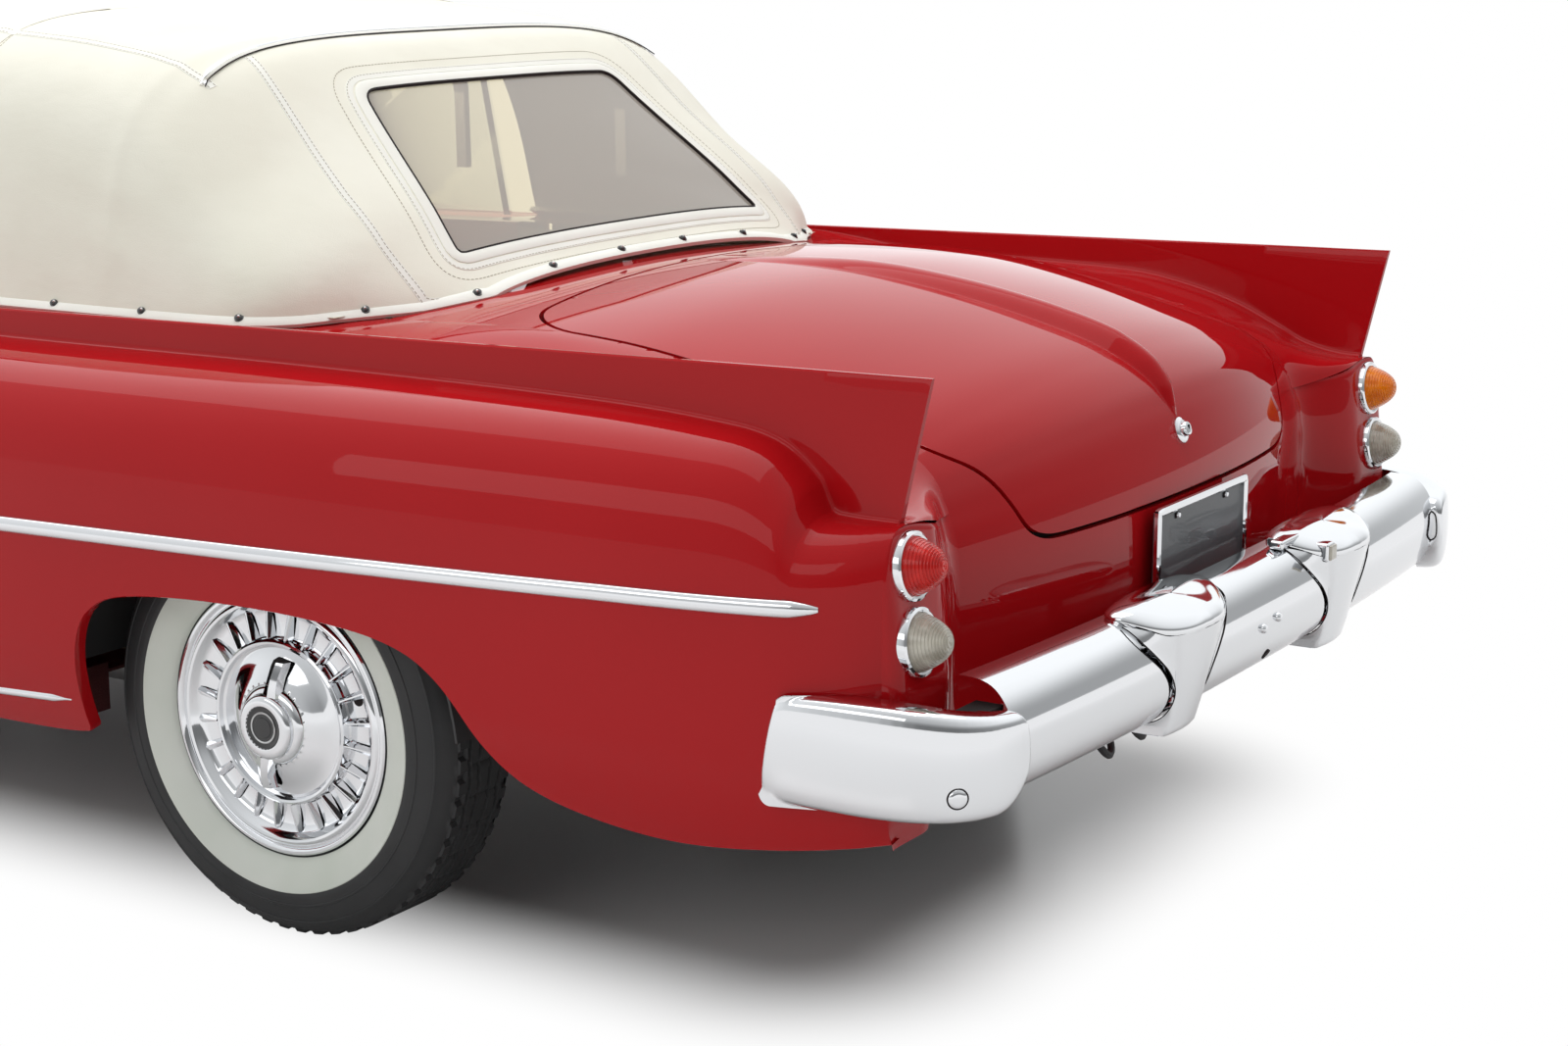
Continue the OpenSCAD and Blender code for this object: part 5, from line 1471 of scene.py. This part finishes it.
# ---------------------------------------------------------------- wheels
def tyre_parts(bits, cx, s):
    """Tyre with a white band, ribs and a cut tread."""
    at, axis = [cx, 0.0, TYRE_R], [0, s, 0]
    o = TYRE_IN

    def P(pts):
        return [[r, o + a] for r, a in pts]
    # outer wall: dark bead line, white band, rounded dark shoulder with fine ribs
    wall = [[203, 158], [204, 162], [206, 165], [207, 166]]
    white = [[207, 166], [208.5, 169.5], [214, 174], [226, 180], [240, 184.5], [252, 187], [256, 187.6],
             [257, 186.6]]
    dark = [[257, 186.6], [259, 187.6], [266, 187.5], [274, 186.5], [275, 187.5], [277, 187.3], [278, 186],
            [290, 183], [302, 178.5], [303, 179.4], [305, 178.6], [306, 177], [312, 172], [318, 165.5],
            [322, 160.5], [325.5, 154]]
    turned(bits, P(wall), at, axis, 144, pick=0)
    turned(bits, P(white), at, axis, 144, pick=1)
    turned(bits, P(dark), at, axis, 144, pick=0)
    # tread: ribs with zigzag grooves
    n = 360
    grooves = [60, 82, 108, 130]
    prof = [[325.5, 154]]
    a = 153.0
    while a > 37:
        prof.append([330.0, a])
        a -= 2.6
    prof.append([325.5, 36])
    prof = np.array(prof)
    th = np.arange(n)

    def wobble(g, pr):
        cut = np.zeros((len(pr), n))
        for gi, gr in enumerate(grooves):
            centre = gr + 2.6 * (np.abs(((th + gi * 3) % 12) - 6) / 3.0 - 1)
            cut = np.maximum(cut, (np.abs(pr[:, 1][:, None] - o - centre[None, :]) < 2.6) * 7.0)
        edge = (pr[:, 1] - o > 139) | (pr[:, 1] - o < 51)
        slots = ((th % 6) < 2)[None, :] & edge[:, None]
        cut = np.maximum(cut, slots * 6.0)
        sipes = ((th % 9) == 4)[None, :] & ((pr[:, 1] - o > 64) & (pr[:, 1] - o < 126))[:, None]
        cut = np.maximum(cut, sipes * 3.0)
        centre = np.array(at)[None, None, :]
        rel = g - centre
        radial = rel * np.array([1, 0, 1])
        length = np.linalg.norm(radial, axis=2, keepdims=True)
        return g - radial / length * cut[..., None]
    turned(bits, P(prof), at, axis, n, pick=0, wobble=wobble)
    inner = [[325.5, 36], [322, 30], [316, 20], [300, 9], [275, 3], [250, 5], [225, 12], [203, 30]]
    turned(bits, P(inner), at, axis, 144, pick=0)


def wheel_parts(bits, cx, s):
    """Bright wheel cover with fins and a two-bladed spinner, and the rim behind it."""
    at, axis = [cx, 0.0, TYRE_R], [0, s, 0]
    o = TYRE_IN
    # rolled rim and cover: 0 chrome, 1 painted shade in holes and under the spinner, 2 medallion
    rim = [[203, 30], [203, 150], [204, 164], [203.5, 168], [201, 170.5], [197, 171], [194, 169],
           [192, 166], [189.5, 166.5], [187, 169], [183, 170.5], [179, 169.5], [176, 166], [172, 160],
           [168, 156], [160, 153.5], [140, 152.5], [128, 153], [126, 156]]
    turned(bits, [[r, o + a] for r, a in rim], at, axis, 128, pick=0)
    ring = [[126, 156], [126.5, 164], [125, 168], [122, 170], [118.5, 169], [117, 166], [116, 163]]
    turned(bits, [[r, o + a] for r, a in ring], at, axis, 128, pick=0)
    dish = [[116, 163], [112, 160.5], [104, 162], [92, 168], [78, 175], [66, 180], [61, 181.5]]
    turned(bits, [[r, o + a] for r, a in dish], at, axis, 128, pick=0)
    hub = [[61, 181.5], [60, 184], [58, 187], [54, 190], [50, 191.5], [49, 194], [49, 198], [47, 201],
           [43, 203], [36, 204], [33, 203.5], [32.5, 202]]
    turned(bits, [[r, o + a] for r, a in hub], at, axis, 96, pick=0)
    medal = [[32.5, 202], [31, 203], [29, 202.5], [27, 201.8], [16, 202.2], [15, 203.2], [0, 203.6]]
    turned(bits, [[r, o + a] for r, a in medal], at, axis, 64, pick=2)
    turned(bits, [[24, o + 202.6], [23, o + 203.5], [21, o + 202.7]], at, axis, 64, pick=3)
    # radial fins standing in the recess
    for k in range(24):
        a = 2 * math.pi * (k + 0.5) / 24
        c, q = math.cos(a), math.sin(a)
        ca, qa = -q, c

        def pt(r, w, h):
            return [cx + (r * c + w * ca), s * (o + h), TYRE_R + (r * q + w * qa)]
        w0, w1 = 6.5, 1.1
        v = [pt(168, -w0, 157), pt(168, w0, 157), pt(128, w0 * 0.8, 153), pt(128, -w0 * 0.8, 153),
             pt(170, -w1, 160), pt(170, w1, 160), pt(127, w1, 168), pt(127, -w1, 168)]
        bits.add(v, [[4, 5, 6, 7], [0, 4, 7, 3], [1, 2, 6, 5], [0, 1, 5, 4], [2, 3, 7, 6]], 0)
    # two-bladed spinner
    for sign in (1, -1):
        a = math.radians(100)
        c, q = math.cos(a) * sign, math.sin(a) * sign
        ca, qa = -q, c
        prof = [(48, 17, 186, 201), (62, 14, 183, 200), (78, 12.5, 178, 197), (92, 13.5, 173, 192),
                (100, 13, 170, 188)]
        g = []
        for r, w, h0, h1 in prof:
            row = []
            for ww, hh in ((-w, h0), (-w * 0.72, h1 - 5), (0, h1), (w * 0.72, h1 - 5), (w, h0)):
                row.append([cx + r * c + ww * ca, s * (o + hh), TYRE_R + r * q + ww * qa])
            g.append(row)
        g = np.array(g)
        bits.grid(g, s < 0, 0)
        # end faces under the blade tips, in near-black painted shade
        tip = g[-1]
        foot = tip.copy()
        foot[:, 1] = s * (o + 166)
        bits.grid(np.stack([tip, foot]), s > 0, 1)
    # valve hole, in near-black painted shade
    a = math.radians(160)
    turned(bits, [[0, 0.9], [7, 0.9], [9, 0.4], [9.5, -1]],
           [cx + 152 * math.cos(a), s * (o + 153.5), TYRE_R + 152 * math.sin(a)], axis, 20, pick=1)
    # inner rim and brake side
    turned(bits, [[200, o + 30], [188, o + 34], [184, o + 60], [184, o + 110], [120, o + 120],
                  [70, o + 118], [70, o + 80], [0, o + 80]],
           at, axis, 64, pick=4)


for end, cx in (("front", WHEELBASE), ("rear", 0.0)):
    for side, s in (("left", 1), ("right", -1)):
        tyre = Bits()
        tyre_parts(tyre, cx, s)
        tyre_obj = tyre.make(f"tyre_skin_{end}_{side}", [RUBBER, WHITEWALL], weld=0.00002,
                     body=f"road_wheel_{end}_{side}",
                     sharp=35, slot_name="tyre_rubber")
        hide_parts(f"tyre_{end}_{side}")
        cover = Bits()
        wheel_parts(cover, cx, s)
        cover_obj = cover.make(f"wheel_cover_{end}_{side}", [CHROME, PAINTED_GAP_SHADE, BLACK, SATIN, METAL],
                               weld=0.00002,
                     body=f"road_wheel_{end}_{side}", sharp=32, slot_name="chrome")
        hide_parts(f"wheel_{end}_{side}")

# ---------------------------------------------------------------- cabin
def channelled_seat(name, part, count, half_width, cushion, back, half_channel, edge, bulge, lean):
    """Seat of sewn channels: one pillow for each channel of the cushion and of the back."""
    bits = Bits()
    for k in range(count):
        y = -half_width + 2 * half_width * (k + 0.5) / count
        (x, z, half_x, half_z), (back_x, back_z, half_deep, half_tall) = cushion, back
        pillow(bits, [x, y, z], [half_x, half_channel, half_z], edge, 0, (0, 0, bulge))
        pillow(bits, [back_x, y, back_z], [half_deep, half_channel, half_tall], edge, 0, (6, 0, 0), lean=lean)
    obj = bits.make(name, [VINYL], weld=0.00002, slot_name="seat_vinyl")
    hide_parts(part)


channelled_seat("front_seat_cushions", "front_seat", 10, 640, (1365, 468, 245, 62), (1128, 690, 52, 165),
                66.5, 40, 8, 0.25)
base = Bits()
block(base, [1140, -560, 330], [1580, 560, 408])
base.make("front_seat_base", CARPET, slot_name="seat_vinyl")
channelled_seat("rear_seat_cushions", "rear_seat", 8, 560, (640, 472, 225, 56), (368, 690, 50, 150),
                72, 36, 7, 0.22)
cabin = Bits()
for s in (1, -1):
    g = np.array([[[x, s * 704, z] for z in np.linspace(330, 870, 8)] for x in np.linspace(330, 760, 8)])
    cabin.grid(g, s < 0)
cabin.grid(np.array([[[x, y, 905 - 0.0004 * abs(y)] for y in np.linspace(-690, 690, 16)]
                   for x in (40, 180, 300, 322)]))
cabin.make("cabin_trim", VINYL, slot_name="seat_vinyl")

dash = Bits()
pillow(dash, [1945, 0, 815], [45, 690, 40], 22, 0)
turned(dash, [[70, 0], [70, 6], [64, 9], [60, 5], [0, 5]], [1901, 370, 818], [-1, 0, 0.15], 40, pick=1)
for y in (-120, -60, 0, 60, 120):
    turned(dash, [[0, 12], [9, 11], [11, 6], [11, 0]], [1901, y, 806], [-1, 0, 0.1], 20, pick=1)
dash_obj = dash.make("dashboard_skin", [CABIN, CHROME], weld=0.00002, slot_name="cabin_paint")
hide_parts("dashboard")

# screens and side glass
def screen_point(s, v):
    """Point of the windscreen: s across from -1 to 1 and v up from 0 to 1."""
    bend = abs(s) ** 3
    top = float(smooth(v)) * 0.25 + v * 0.75
    return [2120 - 400 * v - 130 * bend * (1 - 0.25 * v), s * (735 - 115 * v),
            962 + 326 * top - bend * (55 + 9 * v)]


screen = np.array([[screen_point(s, v) for v in np.linspace(0, 1, 24)] for s in np.linspace(-1, 1, 90)])
screen_out = normals_of(screen)
screen_pane = Bits()
screen_pane.grid(screen[2:-2, 1:-1])
screen_pane_obj = screen_pane.make("windscreen_glass", GLASS, slot_name="window_glass")
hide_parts("windshield")
screen_rim = Bits()
for line, line_out in ((screen[:, 0], screen_out[:, 0]), (screen[:, -1], screen_out[:, -1]),
                       (screen[0], screen_out[0]), (screen[-1], screen_out[-1])):
    strip(screen_rim, line, line_out, [[-14, -11], [-14, 9], [-9, 13], [9, 13], [14, 9], [14, -11]])
screen_rim_obj = screen_rim.make("windscreen_frame", CHROME, weld=0.0, slot_name="chrome")
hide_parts("windshield_frame")
for s, side in ((1, "left"), (-1, "right")):
    side_glass = Bits()
    g = []
    for x in np.linspace(830, 1880, 40):
        row = []
        for f in np.linspace(0, 1, 14):
            w = max((x - 1400) / 480.0, 0)
            top = 668 - 50 * w
            row.append([x - 320 * w * f, s * (756 + (top - 756) * f),
                        float(fin_foot(x)) + 3 + (1247 - float(fin_foot(x))) * f])
        g.append(row)
    g = np.array(g)
    side_glass.grid(g, s < 0, 0)
    for line in (g[:, -1], g[0], g[-1]):
        strip(side_glass, line, [0, s, 0.4], [[-8, -5], [-8, 3], [0, 5], [8, 3], [8, -5]], pick=1)
    side_glass_obj = side_glass.make("side_glass_" + side, [GLASS, CHROME], body="door_" + side,
                                     slot_name="window_glass")
    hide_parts("door_glass_" + side)

# headlamps
headlamps = Bits()
for s in (1, -1):
    at = [HEADLAMP_X, s * HEADLAMP_Y, HEADLAMP_Z]
    turned(headlamps, [[98, 0], [98, 88], [97, 96], [93, 101], [88, 100], [85, 94]], at, [1, 0, 0], 64,
           pick=0)
    turned(headlamps, [[85, 94], [80, 97], [60, 104], [30, 109], [0, 110]], at, [1, 0, 0], 64, pick=1)
headlamps_obj = headlamps.make("headlamp_units", [CHROME, LAMP_GLASS], slot_name="headlamp_glass")
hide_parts("headlamps")

# ---------------------------------------------------------------- finishes of the CAD parts that stay
CAD_LOOKS = {"chassis_frame": METAL, "floor_pan": CARPET, "wheel_arches": METAL, "firewall": METAL,
             "top_bows": SATIN,
             "front_bumper": CHROME, "grille": CHROME, "engine": METAL, "fuel_tank": METAL, "exhaust": SATIN,
             "rear_axle": METAL, "front_suspension": METAL, "steering_column": CABIN, "steering_wheel": IVORY,
             "knuckle_left": METAL, "knuckle_right": METAL}
for part, look in CAD_LOOKS.items():
    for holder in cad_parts[part].material_slots:
        holder.material = look


# ---------------------------------------------------------------- scene: floor, light, camera
def share_of(tree, value, low, high, at_low=0.0, at_high=1.0, form="SMOOTHSTEP"):
    """Level that goes from at_low to at_high while a value goes from low to high."""
    step = tree.nodes.new("ShaderNodeMapRange")
    step.interpolation_type = form
    for key, number in (("From Min", low), ("From Max", high), ("To Min", at_low), ("To Max", at_high)):
        step.inputs[key].default_value = number
    tree.links.new(value, step.inputs["Value"])
    return step.outputs["Result"]


def sum_of(tree, operation, *values, kind="ShaderNodeMath", out=0):
    """Result of a math node; each value is a number, a vector or the output of another node."""
    node = tree.nodes.new(kind)
    node.operation = operation
    for socket, value in zip(node.inputs, values):
        if isinstance(value, (float, tuple)):
            socket.default_value = value
        else:
            tree.links.new(value, socket)
    return node.outputs[out]


def floor_material():
    """Grey floor that fades to white away from the car, so that its edge can't be seen."""
    mat = shader("floor", (0.80, 0.79, 0.78), 0.20)
    tree = mat.node_tree
    n, links = tree.nodes, tree.links
    vector = "ShaderNodeVectorMath"
    place = n.new("ShaderNodeNewGeometry").outputs["Position"]
    folded = sum_of(tree, "ABSOLUTE", place, kind=vector)
    inset = sum_of(tree, "SUBTRACT", folded, (2.02, 0.50, 0.0), kind=vector)
    outside = sum_of(tree, "MAXIMUM", inset, (0.0, 0.0, 0.0), kind=vector)
    distance = sum_of(tree, "LENGTH", outside, kind=vector, out="Value")
    path = n.new("ShaderNodeLightPath").outputs
    plain = sum_of(tree, "MAXIMUM", path["Is Camera Ray"], path["Is Transmission Ray"])
    seen = sum_of(tree, "MULTIPLY", share_of(tree, distance, 0.07, 0.47), plain)
    mirrored = sum_of(tree, "MULTIPLY", share_of(tree, distance, 0.4, 3.2), path["Is Glossy Ray"])
    glow = n.new("ShaderNodeEmission")
    glow.inputs["Color"].default_value = (1.0, 1.0, 1.0, 1.0)
    glow.inputs["Strength"].default_value = 1.0
    blend = n.new("ShaderNodeMixShader")
    links.new(sum_of(tree, "MAXIMUM", seen, mirrored), blend.inputs[0])
    links.new(n["Principled BSDF"].outputs[0], blend.inputs[1])
    links.new(glow.outputs[0], blend.inputs[2])
    links.new(blend.outputs[0], n["Material Output"].inputs["Surface"])
    return mat


WORLD_DIM = 0.5
mesh = bpy.data.meshes.new("floor")
mesh.from_pydata([(-60, -60, 0), (60, -60, 0), (60, 60, 0), (-60, 60, 0)], [], [(0, 1, 2, 3)])
floor = bpy.data.objects.new("floor", mesh)
bpy.context.collection.objects.link(floor)
mesh.materials.append(floor_material())

world = bpy.data.worlds.new("studio")
bpy.context.scene.world = world
world.use_nodes = True
sky = world.node_tree
sky.nodes.clear()
sky_out = sky.nodes.new("ShaderNodeOutputWorld")
direction = sky.nodes.new("ShaderNodeTexCoord").outputs["Generated"]
facing = sum_of(sky, "DOT_PRODUCT", direction, (0.53, -0.85, 0.0), kind="ShaderNodeVectorMath", out="Value")
level = share_of(sky, facing, -0.9, 0.6, WORLD_DIM, 1.2, "LINEAR")
# the wall behind the tail is darker, low down
axes = sky.nodes.new("ShaderNodeSeparateXYZ")
sky.links.new(direction, axes.inputs[0])
low_down = share_of(sky, axes.outputs["Z"], 0.12, 0.50, 1.0, 0.0)
behind = share_of(sky, axes.outputs["X"], -0.45, 0.20, 0.62, 0.0)
kept = sum_of(sky, "SUBTRACT", 1.0, sum_of(sky, "MULTIPLY", low_down, behind))
soft = sky.nodes.new("ShaderNodeBackground")
soft.inputs["Color"].default_value = (0.97, 0.99, 1.0, 1.0)
sky.links.new(sum_of(sky, "MULTIPLY", level, kept), soft.inputs["Strength"])
# the camera sees plain white
white = sky.nodes.new("ShaderNodeBackground")
white.inputs["Color"].default_value = (1.0, 1.0, 1.0, 1.0)
choice = sky.nodes.new("ShaderNodeMixShader")
sky.links.new(sky.nodes.new("ShaderNodeLightPath").outputs["Is Camera Ray"], choice.inputs[0])
sky.links.new(soft.outputs[0], choice.inputs[1])
sky.links.new(white.outputs[0], choice.inputs[2])
sky.links.new(choice.outputs[0], sky_out.inputs["Surface"])


def area_light(name, at, to, size, power):
    """Rectangular lamp at one point, turned to another."""
    light = bpy.data.lights.new(name, "AREA")
    light.shape = "RECTANGLE"
    light.size, light.size_y = size
    light.energy = power
    ob = bpy.data.objects.new(name, light)
    bpy.context.collection.objects.link(ob)
    ob.location = at
    ob.rotation_euler = (Vector(to) - Vector(at)).to_track_quat("-Z", "Y").to_euler()
    return ob


area_light("overhead", (0.0, 0.0, 3.6), (0, 0, 0), (5.5, 3.2), 66)
area_light("side_fill", (-0.5, 5.5, 3.0), (-0.5, 0.8, 0.8), (6.0, 1.6), 36)

cam_data = bpy.data.cameras.new("camera")
cam = bpy.data.objects.new("camera", cam_data)
bpy.context.collection.objects.link(cam)
cam.location = (-4.1022, 3.8369, 1.4938)
look = Vector((0.5206, -0.8268, -0.2130))
cam.rotation_euler = look.to_track_quat("-Z", "Y").to_euler()
cam_data.sensor_width = 36.0
cam_data.lens = 63.86
cam_data.clip_end = 200
bpy.context.scene.camera = cam
bpy.context.scene.view_settings.view_transform = "Standard"
